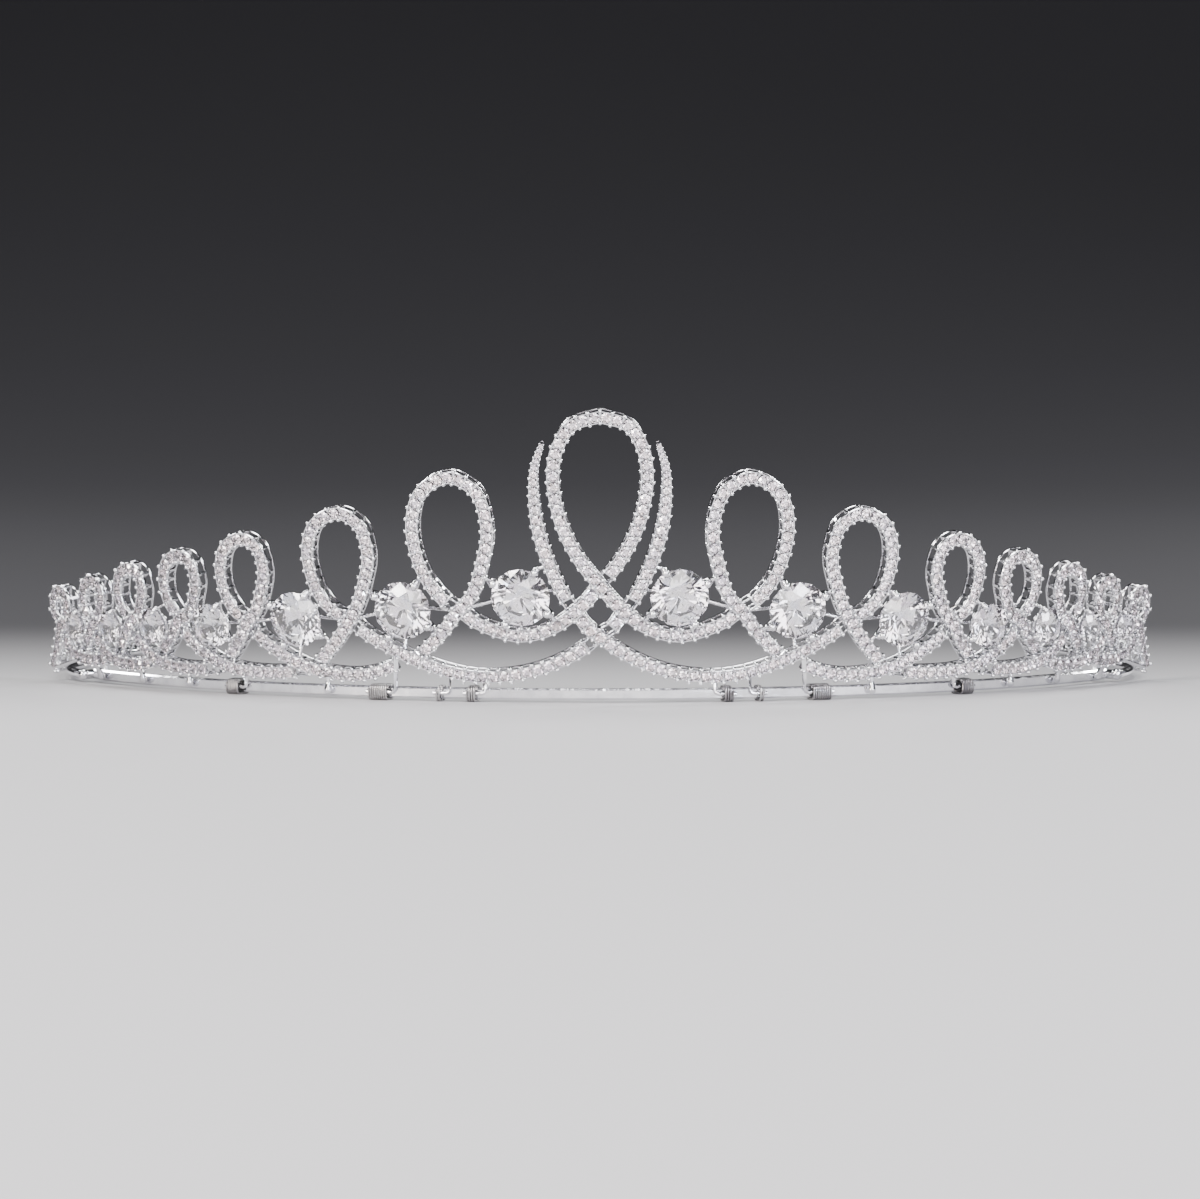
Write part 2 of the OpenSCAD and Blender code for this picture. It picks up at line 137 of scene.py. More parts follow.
LOOPS = [
    LoopRow(19.3, 10.2, 20.4, 5.20, 29.0, 25.4, 3.4, 11.0, 6.9, 1.5, 0.0, 14.0, 2.1),
    LoopRow(34.8, 8.6, 36.4, 4.50, 23.8, 40.2, 1.9, 16.0, 1.1, 1.7, 0.0, 6.8, 2.3),
    LoopRow(50.7, 7.9, 51.5, 3.60, 19.9, 54.6, 2.0, 34.5, 1.0, 2.2, 28.3, 2.5, 2.0),
    LoopRow(62.9, 7.7, 62.6, 3.00, 17.2, 67.0, 2.2, 47.0, 1.0, 2.9, 41.8, 1.4, 2.0),
    LoopRow(72.6, 7.0, 72.6, 2.60, 15.0, 75.7, 2.4, 59.0, 1.0, 3.4, 56.3, 1.2, 2.0),
    LoopRow(81.3, 6.2, 81.3, 2.25, 12.8, 83.9, 2.3, 71.0, 1.1, 3.4, 68.6, 1.6, 2.0),
    LoopRow(90.0, 5.6, 89.9, 2.00, 10.9, 92.4, -0.5, 80.5, 1.3, 3.4, 78.4, 1.6, 2.0),
]
TAIL_PULL = (0.42, 0.58)
TAIL_STEPS = (1.0, 0.67, 0.34)
SMILE_STEPS = 14
# Shares of a loop's half width and of its height above the crossing, and which row is its top
LOOP_SHAPE = [
    (-0.62, 0.14), (-0.86, 0.36), (-1.00, 0.61), (-0.74, 0.88), (0.00, 1.00),
    (0.76, 0.885), (1.00, 0.65), (0.83, 0.38), (0.42, 0.165),
]
LOOP_TOP = 4
# Shares of the crest's half width and of its height above its crossing
CREST_SHAPE = [
    (0.30, 0.10), (0.59, 0.225), (0.825, 0.37), (0.96, 0.525), (1.00, 0.67), (0.90, 0.82),
    (0.59, 0.95), (0.00, 1.00),
]
# Places of the horn beside the crest, and the one where the first stone's strut meets it
HORN_SHAPE = [
    (1.5, 7.95), (3.5, 10.4), (5.2, 13.3), (6.6, 16.4), (7.7, 19.6), (8.5, 23.0), (8.9, 26.8),
    (8.8, 30.4), (7.8, 33.7),
]
HORN_STRUT_ROW = 2
# Which loops' ribbons run on into the crest and into a horn
CREST_LOOP = 0
HORN_LOOP = 1


class StoneRow(NamedTuple):
    """A main stone: its place on the wall, its diameter and how far its girdle lies in front."""

    s: float
    h: float
    d: float
    out: float


STONES = [
    StoneRow(10.7, 12.3, 8.0, 0.0), StoneRow(27.0, 10.3, 8.0, 0.0), StoneRow(42.8, 8.7, 7.7, 0.1),
    StoneRow(56.7, 7.4, 6.2, 0.4), StoneRow(67.6, 7.0, 5.1, 0.5), StoneRow(76.7, 6.5, 4.5, 0.5),
    StoneRow(85.3, 6.1, 4.2, 0.5),
]


class LashingRow(NamedTuple):
    """A lashing: its place along the wall and its length."""

    s: float
    length: float


LASHINGS = [
    LashingRow(15.6, 1.6), LashingRow(20.4, 1.0), LashingRow(28.0, 3.0), LashingRow(51.5, 2.4),
]
BEAD_POSTS = [38.0, 62.0, 72.0, 83.0]
END_STRUTS = [((89.2, 3.1), (91.9, -0.3)), ((85.0, 1.2), (91.7, -0.4))]


def unit(v: Array) -> Array:
    """Vectors of length 1 along the last axis."""
    return v / np.linalg.norm(v, axis=-1, keepdims=True)


def ease(low: float, high: float, x: Array) -> Array:
    """A smooth step from 0 at low to 1 at high."""
    t = np.clip((x - low) / (high - low), 0, 1)
    return t * t * (3 - 2 * t)


def run_of(points: Array) -> Array:
    """How far along a line of points each one lies."""
    return np.concatenate([[0], np.cumsum(np.linalg.norm(np.diff(points, axis=0), axis=1))])


def bent(start: Array, bend: Array, end: Array, shares: tuple[float, ...]) -> Array:
    """Points at shares of a curve that leaves start for bend and comes from bend to end."""
    t = np.array(shares)[:, None]
    return (1 - t) ** 2 * start + 2 * t * (1 - t) * bend + t * t * end


def smoothed(points: Array, labels: Array, steps: int = 10) -> tuple[Array, Array]:
    """Draws a smooth line through points.

    Args:
        points: the points.
        labels: a number for each point, kept by the stretch that starts there.
        steps: how many points each stretch gets.

    Returns:
        The line's points and their labels.
    """
    p = np.vstack([2 * points[0] - points[1], points, 2 * points[-1] - points[-2]])
    t = np.arange(steps)[:, None] / steps
    line, kept = [], []
    for i in range(len(points) - 1):
        a, b, c, d = p[i:i + 4]
        line.append(0.5 * (2 * b + (c - a) * t + (2 * a - 5 * b + 4 * c - d) * t ** 2
                           + (3 * b - 3 * c + d - a) * t ** 3))
        kept.append(np.full(steps, labels[i]))
    return np.vstack(line + [points[-1:]]), np.concatenate(kept + [labels[-1:]])


def smile_h(row: LoopRow, s: float) -> float:
    """Works out the height of a loop's smile.

    Args:
        row: the loop.
        s: the place along the wall.

    Returns:
        The height up the wall.
    """
    if s >= row.sag_s:
        share, rise, power = (s - row.sag_s) / (row.cross_s - row.sag_s), row.cross_h, row.sag_power
    else:
        share, rise, power = (row.sag_s - s) / (row.sag_s - row.end_s), row.end_h, row.end_power
    return row.sag_h + (rise - row.sag_h) * share ** power


@dataclass(frozen=True)
class Wall:
    """The leaning surface that the ribbons and stones stand on, in millimetres."""

    radius: float = 90.0
    lean: float = math.radians(14)
    front: float = 0.5
    over_band: float = 0.45

    @cached_property
    def shift(self) -> Array:
        """The way from the headband's own place to the frame of the solids.

        Returns:
            The way, in millimetres.
        """
        crest = (CREST_H + RIBBON_W / 2) * math.sin(self.lean)
        front_y = -self.front - crest - RIBBON_FRONT * math.cos(self.lean)
        back_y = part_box("headband")[1].y / MM
        return np.array([0.0, -(front_y + back_y), BAND_H / 2 + LASHING_GAP + LASHING_T])

    def along(self, s: Array) -> Array:
        """The direction along the wall at places s."""
        a = np.asarray(s, float) / self.radius
        return np.stack([np.cos(a), np.sin(a), np.zeros_like(a)], -1)

    def out(self, s: Array) -> Array:
        """The direction out of the wall, to the front, at places s."""
        rise = math.cos(self.lean) * UP + math.sin(self.lean) * FRONT
        return unit(np.cross(self.along(s), rise))

    def up(self, s: Array) -> Array:
        """The direction up the wall, square to the other two, at places s."""
        return np.cross(self.out(s), self.along(s))

    def place(self, s: Array, h: Array, out: float = 0.0) -> Array:
        """Finds points of the wall.

        Args:
            s: distances along its base from the centre line.
            h: distances up its leaning height.
            out: the distance in front of it.

        Returns:
            The points in the frame of the solids, in millimetres.
        """
        s, h = np.asarray(s, float), np.asarray(h, float)
        a = s / self.radius
        y = -self.front + self.radius * (1 - np.cos(a)) - h * math.sin(self.lean)
        z = BAND_H / 2 + self.over_band + h * math.cos(self.lean)
        return np.stack([self.radius * np.sin(a), y, z], -1) + out * self.out(s) + self.shift

    def band_angle(self, s: float) -> float:
        """The headband's angle nearest to a place along the wall, in radians."""
        x, y, _ = self.place(s, 0.0) - self.shift
        return math.atan2(x, BAND_R - y)

    def band_point(self, angle: float, out: float, z: float = 0.0) -> Array:
        """A point of the headband's own ring, out from its middle line and above it."""
        r = BAND_R + out
        return np.array([r * math.sin(angle), BAND_R - r * math.cos(angle), z]) + self.shift


@dataclass
class Strand:
    """A ribbon's middle line: tail, loop and smile, and for the inner two a crest or horn.

    Where two ribbons cross, the one of the lower rank runs in front.
    """

    wall: Wall
    index: int
    side: Side
    step: float = 0.25
    tucked: float = 2.6
    tucked_rank: float = 100.0
    index_rank: float = 0.01
    left_rank: float = 0.001
    taper_power: float = 0.7
    s: Array = field(init=False)
    h: Array = field(init=False)
    run: Array = field(init=False)
    rank: Array = field(init=False)
    width: Array = field(init=False)

    def __post_init__(self) -> None:
        """Draws the line, spaces its points evenly and gives each its rank and width."""
        points = np.array(self.route())
        top = len(TAIL_STEPS) + 1 + LOOP_TOP
        flat, half = smoothed(points, (np.arange(len(points)) >= top).astype(float))
        flat[:, 0] *= self.side.value
        run = run_of(self.wall.place(flat[:, 0], flat[:, 1]))
        self.run = np.linspace(0, run[-1], int(round(run[-1] / self.step)) + 1)
        self.s = np.interp(self.run, run, flat[:, 0])
        self.h = np.interp(self.run, run, flat[:, 1])
        self.rank = self.ranks(np.interp(self.run, run, half).round())
        self.width = self.widths()

    def route(self) -> list[tuple[float, float]]:
        """Lists the places that the line runs through, on the right-hand side.

        Returns:
            The places, along the wall and up it.
        """
        row = LOOPS[self.index]
        cross, tail = np.array([row.cross_s, row.cross_h]), np.array([row.tail_s, row.tail_h])
        pull = cross + (tail - cross) * np.array(TAIL_PULL)
        points = [tuple(p) for p in bent(cross, pull, tail, TAIL_STEPS)] + [tuple(cross)]
        points += [(row.axis_s + x * row.half_w, row.cross_h + y * (row.top_h - row.cross_h))
                   for x, y in LOOP_SHAPE]
        points.append(tuple(cross))
        for start, end in ((row.cross_s, row.sag_s), (row.sag_s, row.end_s)):
            points += [(s, smile_h(row, s)) for s in np.linspace(start, end, SMILE_STEPS + 1)[1:]]
        if self.index == CREST_LOOP:
            points += [(-x * CREST_HALF_W, row.end_h + y * (CREST_H - row.end_h))
                       for x, y in CREST_SHAPE]
        if self.index == HORN_LOOP:
            points += [(-s, h) for s, h in HORN_SHAPE]
        return points

    def ranks(self, half: Array) -> Array:
        """Works out each point's rank, which is high where an end is tucked behind a ribbon.

        Args:
            half: 0 on the tail and the loop's first half, 1 on the rest.

        Returns:
            The ranks.
        """
        rank = half + self.index_rank * self.index + self.left_rank * (self.side is Side.LEFT)
        if self.index < len(LOOPS) - 1:
            rank[self.run < self.tucked] += self.tucked_rank
        if self.index > HORN_LOOP:
            rank[self.run[-1] - self.run < self.tucked] += self.tucked_rank
        return rank

    def widths(self) -> Array:
        """Works out each point's width, which shrinks towards a horn's tip.

        Returns:
            The widths.
        """
        share = np.minimum((self.run[-1] - self.run) / HORN_TAPER, 1) ** self.taper_power
        tip = HORN_TIP_W if self.index == HORN_LOOP else RIBBON_W
        return tip + (RIBBON_W - tip) * share

    def meets(self, reach: float) -> Array:
        """Which points lie within reach of the crest's top, where the two inner strands join."""
        return (self.index == CREST_LOOP) & (self.run[-1] - self.run < reach)

    def middle(self) -> Array:
        """The line's points on the wall."""
        return self.wall.place(self.s, self.h)

    def out(self) -> Array:
        """The direction to the front at each point."""
        return self.wall.out(self.s)

    def go(self) -> Array:
        """Finds the line's own direction at each point.

        Returns:
            The directions.
        """
        place = self.middle()
        ahead = np.vstack([place[1:], 2 * place[-1:] - place[-2:-1]])
        behind = np.vstack([2 * place[:1] - place[1:2], place[:-1]])
        if self.index == CREST_LOOP:
            # The crest runs on into its mirror image
            ahead[-1] = place[-2] * Side.LEFT.flip
        return unit(ahead - behind)

    def across(self) -> Array:
        """The direction across the ribbon at each point."""
        return unit(np.cross(self.out(), self.go()))

    def at(self, run: Array, values: Array) -> Array:
        """Reads values of the line at distances along it.

        Args:
            run: the distances.
            values: a number or a vector for each point of the line.

        Returns:
            The values there.
        """
        if values.ndim == 1:
            return np.interp(run, self.run, values)
        return np.stack([np.interp(run, self.run, v) for v in values.T], -1)


@dataclass
class Lines:
    """All the ribbons' middle lines, and how each dips behind the ones that cross in front."""

    wall: Wall
    dip: float = 0.5
    dip_from: float = 2.1
    dip_full: float = 1.0
    own_clear: float = 6.0
    far: float = 99.0
    strands: list[Strand] = field(init=False)
    dips: list[Array] = field(init=False)
    gaps: list[Array] = field(init=False)

    def __post_init__(self) -> None:
        """Draws the strands and measures how near each point is to a line in front of it."""
        self.strands = [Strand(self.wall, k, side) for k in range(len(LOOPS)) for side in Side]
        places = np.vstack([strand.middle() for strand in self.strands])
        ranks = np.concatenate([strand.rank for strand in self.strands])
        runs = np.concatenate([strand.run for strand in self.strands])
        owners = np.concatenate([np.full(len(t.run), i) for i, t in enumerate(self.strands)])
        crests = np.concatenate([strand.meets(self.own_clear) for strand in self.strands])
        self.dips, self.gaps = [], []
        for i, strand in enumerate(self.strands):
            apart = np.linalg.norm(strand.middle()[:, None] - places[None], axis=2)
            own = (owners == i) & (np.abs(runs[None] - strand.run[:, None]) < self.own_clear)
            own |= strand.meets(self.own_clear)[:, None] & crests[None]
            in_front = (ranks[None] < strand.rank[:, None]) & ~own
            gap = np.where(in_front, apart, self.far).min(axis=1)
            self.gaps.append(gap)
            self.dips.append(self.dip * (1 - ease(self.dip_full, self.dip_from, gap)))

    def nearest(self, point: Array) -> tuple[Array, float]:
        """Finds the point of the ribbons that is nearest to a point.

        Args:
            point: the point.

        Returns:
            The ribbons' point and its distance.
        """
        places = np.vstack([strand.middle() for strand in self.strands])
        apart = np.linalg.norm(places - point, axis=1)
        return places[apart.argmin()], float(apart.min())


class Nodes:
    """A node tree, built node by node."""

    def __init__(self, group: NodeTree) -> None:
        """Takes the tree that the nodes go into."""
        self.group = group

    def fill(self, node: Node, links: dict[str, object]) -> None:
        """Links or sets a node's inputs.

        Args:
            node: the node.
            links: for each input's name, an output socket or a plain value.
        """
        for label, source in links.items():
            socket = next(s for s in node.inputs if s.name == label and s.enabled)
            if isinstance(source, NodeSocket):
                self.group.links.new(source, socket)
            else:
                socket.default_value = source

    def node(self, kind: str, links: dict[str, object], out: str = "", **settings: object
             ) -> NodeSocket:
        """Adds a node.

        Args:
            kind: the node's type.
            links: for each input's name, an output socket or a plain value.
            out: the name of the wanted output, if it isn't the first in use.
            settings: the node's own options.

        Returns:
            The wanted output.
        """
        node = self.group.nodes.new(kind)
        for key, value in settings.items():
            setattr(node, key, value)
        self.fill(node, links)
        return next(s for s in node.outputs if s.enabled and out in ("", s.name))


class Tree(Nodes):
    """A Geometry Nodes tree with named inputs."""

    def __init__(self, name: str, inputs: dict[str, str]) -> None:
        """Makes the tree.

        Args:
            name: its name.
            inputs: a socket type for each input's name, after the geometry.
        """
        super().__init__(bpy.data.node_groups.new(name, "GeometryNodeTree"))
        face = self.group.interface
        for label, kind in {"Geometry": "NodeSocketGeometry", **inputs}.items():
            face.new_socket(label, in_out="INPUT", socket_type=kind)
        face.new_socket("Geometry", in_out="OUTPUT", socket_type="NodeSocketGeometry")
        self.inputs = self.group.nodes.new("NodeGroupInput").outputs

    def attribute(self, name: str, kind: str = "FLOAT_VECTOR") -> NodeSocket:
        """The output of a named attribute."""
        return self.node("GeometryNodeInputNamedAttribute", {"Name": name}, data_type=kind)

    def finish(self, shape: NodeSocket) -> NodeTree:
        """Realizes the instances, sets the material and closes the tree.

        Args:
            shape: the tree's last shape.

        Returns:
            The tree.
        """
        real = self.node("GeometryNodeRealizeInstances", {"Geometry": shape})
        dressed = self.node("GeometryNodeSetMaterial",
                            {"Geometry": real, "Material": self.inputs["Material"]})
        self.fill(self.group.nodes.new("NodeGroupOutput"), {"Geometry": dressed})
        return self.group


def scatter_tree() -> NodeTree:
    """Builds the tree that sets a small piece on every point, turned by its attributes.

    Returns:
        The tree.
    """
    tree = Tree("set_on_points", {"Piece": "NodeSocketObject", "Material": "NodeSocketMaterial"})
    turn = tree.node("FunctionNodeAxesToRotation", {
        "Primary Axis": tree.attribute("facing"), "Secondary Axis": tree.attribute("along"),
    }, primary_axis="Z", secondary_axis="X")
    piece = tree.node("GeometryNodeObjectInfo", {"Object": tree.inputs["Piece"]}, out="Geometry")
    return tree.finish(tree.node("GeometryNodeInstanceOnPoints", {
        "Points": tree.inputs["Geometry"], "Instance": piece, "Rotation": turn,
        "Scale": tree.attribute("size")}))


def wire_tree() -> NodeTree:
    """Builds the tree that draws a wire of an oval section along every line of edges.

    Returns:
        The tree.
    """
    tree = Tree("wire_on_lines", {
        "Sides": "NodeSocketInt", "Spin": "NodeSocketFloat", "Width": "NodeSocketFloat",
        "Height": "NodeSocketFloat", "Material": "NodeSocketMaterial"})
    line = tree.node("GeometryNodeMeshToCurve", {"Mesh": tree.inputs["Geometry"]})
    turned = tree.node("GeometryNodeSetCurveNormal",
                       {"Curve": line, "Normal": tree.attribute("facing")}, mode="FREE")
    ring = tree.node("GeometryNodeCurvePrimitiveCircle",
                     {"Resolution": tree.inputs["Sides"], "Radius": 0.5})
    spin = tree.node("ShaderNodeCombineXYZ", {"Z": tree.inputs["Spin"]})
    size = tree.node("ShaderNodeCombineXYZ",
                     {"X": tree.inputs["Height"], "Y": tree.inputs["Width"], "Z": 1.0})
    spun = tree.node("GeometryNodeTransform", {"Geometry": ring, "Rotation": spin})
    section = tree.node("GeometryNodeTransform", {"Geometry": spun, "Scale": size})
    return tree.finish(tree.node("GeometryNodeCurveToMesh", {
        "Curve": turned, "Profile Curve": section, "Fill Caps": True,
        "Scale": tree.attribute("thick", "FLOAT")}))


def bare_mesh(name: str, place: Array, edges: list, **attributes: Array) -> Mesh:
    """Makes a mesh of points and edges, in metres.

    Args:
        name: its name.
        place: the points in millimetres.
        edges: pairs of the points' numbers.
        attributes: a number or a vector for each point, by the attribute's name.

    Returns:
        The mesh.
    """
    mesh = bpy.data.meshes.new(name)
    mesh.from_pydata((place * MM).tolist(), edges, [])
    for label, values in attributes.items():
        kind, key = ("FLOAT", "value") if values.ndim == 1 else ("FLOAT_VECTOR", "vector")
        data = mesh.attributes.new(label, kind, "POINT").data
        data.foreach_set(key, values.astype(np.float32).ravel())
    return mesh


def line_mesh(name: str, lines: list[Line]) -> Mesh:
    """Makes a mesh of edges along lines. A line that ends where it starts is closed.

    Args:
        name: the mesh's name.
        lines: the lines, in millimetres.

    Returns:
        The mesh, with the attributes facing and thick.
    """
    points, facings, thicks, edges, base = [], [], [], [], 0
    for place, facing, thick in lines:
        closed = bool(np.allclose(place[0], place[-1]))
        count = len(place) - closed
        points.append(place[:count])
        facings.append(np.broadcast_to(facing, place.shape)[:count])
        thicks.append(np.broadcast_to(thick, len(place))[:count])
        edges += [(base + i, base + (i + 1) % count) for i in range(count - 1 + closed)]
        base += count
    return bare_mesh(name, np.vstack(points), edges, facing=np.vstack(facings),
                     thick=np.concatenate(thicks))


def solid_mesh(name: str, points: list, faces: list) -> Mesh:
    """Makes a closed mesh with its faces turned outwards.

    Args:
        name: the mesh's name.
        points: its corners in millimetres.
        faces: the corners' numbers round each face.

    Returns:
        The mesh.
    """
    mesh = bpy.data.meshes.new(name)
    shape = bmesh.new()
    corners = [shape.verts.new(Vector(p) * MM) for p in points]
    for face in faces:
        shape.faces.new([corners[i] for i in face])
    bmesh.ops.recalc_face_normals(shape, faces=shape.faces)
    shape.to_mesh(mesh)
    shape.free()
    return mesh


def turned_mesh(name: str, profile: list[tuple[float, float]], sides: int) -> Mesh:
    """Makes a solid of revolution round Z.

    Args:
        name: the mesh's name.
        profile: (radius, height) pairs, the first and last on the axis.
        sides: how many flats it has.

    Returns:
        The mesh.
    """
    turn = 2 * math.pi / sides
    points, rings = [], []
    for r, z in profile:
        count = 1 if r == 0 else sides
        rings.append(range(len(points), len(points) + count))
        points += [(r * math.cos(turn * i), r * math.sin(turn * i), z) for i in range(count)]
    faces = []
    for low, high in zip(rings, rings[1:]):
        for i in range(sides):
            j = (i + 1) % sides
            face = [low[i % len(low)], low[j % len(low)], high[j % len(high)], high[i % len(high)]]
            faces.append(list(dict.fromkeys(face)))
    return solid_mesh(name, points, faces)


def shade(mesh: Mesh, shading: Shading) -> None:
    """Shades a mesh flat, or smooth with its sharper edges kept.

    Args:
        mesh: the mesh.
        shading: how it is shaded.
    """
    if shading is Shading.FACETED:
        mesh.shade_flat()
    else:
        mesh.shade_smooth()
        mesh.set_sharp_from_angle(angle=SHARP_ANGLE)


def add_object(name: str, data: ID) -> Object:
    """Adds an object to the scene.

    Args:
        name: its name.
        data: its mesh, lamp or camera.

    Returns:
        The object.
    """
    thing = bpy.data.objects.new(name, data)
    bpy.context.scene.collection.objects.link(thing)
    return thing


def grown(name: str, source: Mesh, tree: NodeTree, shading: Shading, **inputs: object) -> Object:
    """Runs a tree on a mesh and keeps the result as a plain mesh.

    Args:
        name: the new object's name.
        source: the mesh that the tree starts from.
        tree: the tree.
        shading: how the result is shaded.
        inputs: a value for each of the tree's inputs, by name.

    Returns:
        The new object, with no modifier left on it.
    """
    thing = add_object(name, source)
    modifier = thing.modifiers.new("tree", "NODES")
    modifier.node_group = tree
    for item in tree.interface.items_tree:
        if item.in_out == "INPUT" and item.name in inputs:
            modifier[item.identifier] = inputs[item.name]
    bpy.context.view_layer.update()
    graph = bpy.context.evaluated_depsgraph_get()
    mesh = bpy.data.meshes.new_from_object(thing.evaluated_get(graph), depsgraph=graph)
    thing.modifiers.clear()
    thing.data = mesh
    bpy.data.meshes.remove(source)
    mesh.name = name
    shade(mesh, shading)
    return thing


@dataclass(frozen=True)
class Kit:
    """A metal and the two trees, which the metal pieces are made with."""

    metal: Material
    wires: NodeTree
    scatter: NodeTree

    def wire(self, name: str, lines: list[Line], sides: int, width: float = 2.0,
             height: float = 2.0) -> Object:
        """Draws a wire along lines.

        Args:
            name: the piece's name.
            lines: the lines.
            sides: how many flats the wire has.
            width: its section's width in millimetres at a thickness of 1. With 2, a line's
                thickness is the wire's radius.
            height: its section's height likewise.

        Returns:
            The piece.
        """
        return grown(name, line_mesh(name, lines), self.wires, Shading.ROUNDED, Sides=sides,
                     Spin=math.pi / sides, Width=width * MM, Height=height * MM,
                     Material=self.metal)

    def set_on(self, name: str, places: list[Array], piece: Object, shading: Shading,
               material: Material) -> Object:
        """Sets a small piece at many places, and removes the piece itself.

        Args:
            name: the new piece's name.
            places: the places, where the piece's Z and X point there, and its sizes.
            piece: the small piece.
            shading: how it is shaded.
            material: what it is made of.

        Returns:
            The new piece.
        """
        place, facing, along, size = places
        mesh = bare_mesh(name, place, [], facing=facing, along=along, size=size)
        thing = grown(name, mesh, self.scatter, shading, Piece=piece, Material=material)
        bpy.data.objects.remove(piece)
        LOG.info("%s: %d set", name, len(place))
        return thing


def dress(piece: Object, slot: Slot, *nodes: str) -> None:
    """Rides a piece on the body and hides the solids that it stands for.

    Args:
        piece: the piece.
        slot: its material slot; not used.
        nodes: the solids that it stands for.
    """
    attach(piece, BODY)
    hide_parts(*nodes)
    LOG.info("%s: %d triangles", piece.name, sum(len(p.vertices) - 2 for p in piece.data.polygons))


# Where a noise's usual values start and end
NOISE_ENDS = (0.3, 0.7)


class Grain(NamedTuple):
    """A noise's grain: its size in millimetres, its detail and how its axes are drawn out."""

    size_mm: float
    detail: float = 2.0
    draw: tuple[float, float, float] = (1.0, 1.0, 1.0)


class Paint(Nodes):
    """A material's nodes, with patterns in the object's own space."""

    def __init__(self, name: str) -> None:
        """Makes the material.

        Args:
            name: its name.
        """
        self.material = bpy.data.materials.new(name)
        self.material.use_nodes = True
        super().__init__(self.material.node_tree)

    def finish(self, links: dict[str, object]) -> Material:
        """Links or sets the main shader's inputs and gives the material."""
        self.fill(self.group.nodes["Principled BSDF"], links)
        return self.material

    def noise(self, grain: Grain) -> NodeSocket:
        """Adds a noise.

        Args:
            grain: its grain.

        Returns:
            The noise.
        """
        where = self.node("ShaderNodeTexCoord", {}, out="Object")
        drawn = self.node("ShaderNodeMapping", {"Vector": where, "Scale": grain.draw})
        return self.node("ShaderNodeTexNoise", {
            "Vector": drawn, "Scale": 1 / (grain.size_mm * MM), "Detail": grain.detail})

    def ramp(self, source: NodeSocket, stops: list[tuple[float, Colour]]) -> NodeSocket:
        """Adds a colour ramp.

        Args:
            source: what it reads.
            stops: its (place, colour) stops.

        Returns:
            The colour.
        """
        colour = self.node("ShaderNodeValToRGB", {"Fac": source})
        elements = colour.node.color_ramp.elements
        while len(elements) < len(stops):
            elements.new(1.0)
        for element, (place, tint) in zip(elements, stops):
            element.position = place
            element.color = (*tint, 1.0)
        return colour

    def remap(self, source: NodeSocket, ends: tuple[float, float], goals: tuple[float, float]
              ) -> NodeSocket:
        """Adds a smooth change of range.

        Args:
            source: what is mapped.
            ends: its low and high value.
            goals: what they become.

        Returns:
            The mapped value.
        """
        labels = ("From Min", "From Max", "To Min", "To Max")
        return self.node("ShaderNodeMapRange", {"Value": source, **dict(zip(labels, ends + goals))},
                         interpolation_type="SMOOTHSTEP")

    def bump(self, source: NodeSocket, height_mm: float, under: NodeSocket | None = None
             ) -> NodeSocket:
        """Adds a bump.

        Args:
            source: its height.
            height_mm: how high it is at a source of 1.
            under: the bump that it lies on, where there is one.

        Returns:
            The bumped normal.
        """
        links = {"Height": source, "Distance": height_mm * MM}
        if under is not None:
            links["Normal"] = under
        return self.node("ShaderNodeBump", links)


@dataclass(frozen=True)
class PlatedSilver:
    """Bright plated metal: a cloudy polish, fine scratches and a faint cast ripple."""

    name: str
    bright: Colour
    dull: Colour
    rough: tuple[float, float]
    ripple_mm: float
    scratch_mm: float
    cloud: Grain = Grain(3.0, 4.0)
    dull_below: float = 0.35
    bright_above: float = 0.62
    polish: Grain = Grain(1.2, 6.0)
    ripple: Grain = Grain(0.9)
    scratch: Grain = Grain(0.12, 2.0, (0.15, 1.0, 1.0))

    def material(self) -> Material:
        """Builds the material.

        Returns:
            The material.
        """
        paint = Paint(self.name)
        stops = [(self.dull_below, self.dull), (self.bright_above, self.bright)]
        ripple = paint.bump(paint.noise(self.ripple), self.ripple_mm)
        return paint.finish({
            "Base Color": paint.ramp(paint.noise(self.cloud), stops),
            "Roughness": paint.remap(paint.noise(self.polish), NOISE_ENDS, self.rough),
            "Normal": paint.bump(paint.noise(self.scratch), self.scratch_mm, ripple),
            "Metallic": 1.0})


@dataclass(frozen=True)
class ClearStone:
    """Clear cut stone with painted glints of colour: a faint tint that changes from facet to facet,
    standing in for the coloured flashes of light in it.
    """

    name: str
    fire: Grain
    tints: tuple[Colour, ...]
    ior: float = 2.15
    clear: float = 0.99

    def material(self) -> Material:
        """Builds the material.

        Returns:
            The material.
        """
        paint = Paint(self.name)
        stops = list(zip(np.linspace(*NOISE_ENDS, len(self.tints)), self.tints))
        return paint.finish({
            # Painted glints: the noise spreads faint tints over the clear stone in place of its
            # coloured flashes of light
            "Base Color": paint.ramp(paint.noise(self.fire), stops),
            "Normal": paint.node("ShaderNodeNewGeometry", {}, out="True Normal"),
            "Transmission Weight": self.clear, "IOR": self.ior, "Roughness": 0.0})


@dataclass(frozen=True)
class PalePaper:
    """The plain floor's paper, pale in front and darker towards the backdrop. The darkening is
    painted shade: a pool of light round the tiara is painted into the paper's colour.
    """

    name: str
    near: Colour
    far: Colour
    near_y: float
    far_y: float
    rough: float = 0.55

    def material(self) -> Material:
        """Builds the material.

        Returns:
            The material.
        """
        paint = Paint(self.name)
        where = paint.node("ShaderNodeTexCoord", {}, out="Object")
        depth = paint.node("ShaderNodeSeparateXYZ", {"Vector": where}, out="Y")
        # Painted shade: the paper's colour darkens from front to back as if a pool of light lay in
        # front
        share = paint.remap(depth, (self.near_y, self.far_y), (0.0, 1.0))
        colour = paint.ramp(share, [(0.0, self.near), (1.0, self.far)])
        return paint.finish({"Base Color": colour, "Roughness": self.rough})


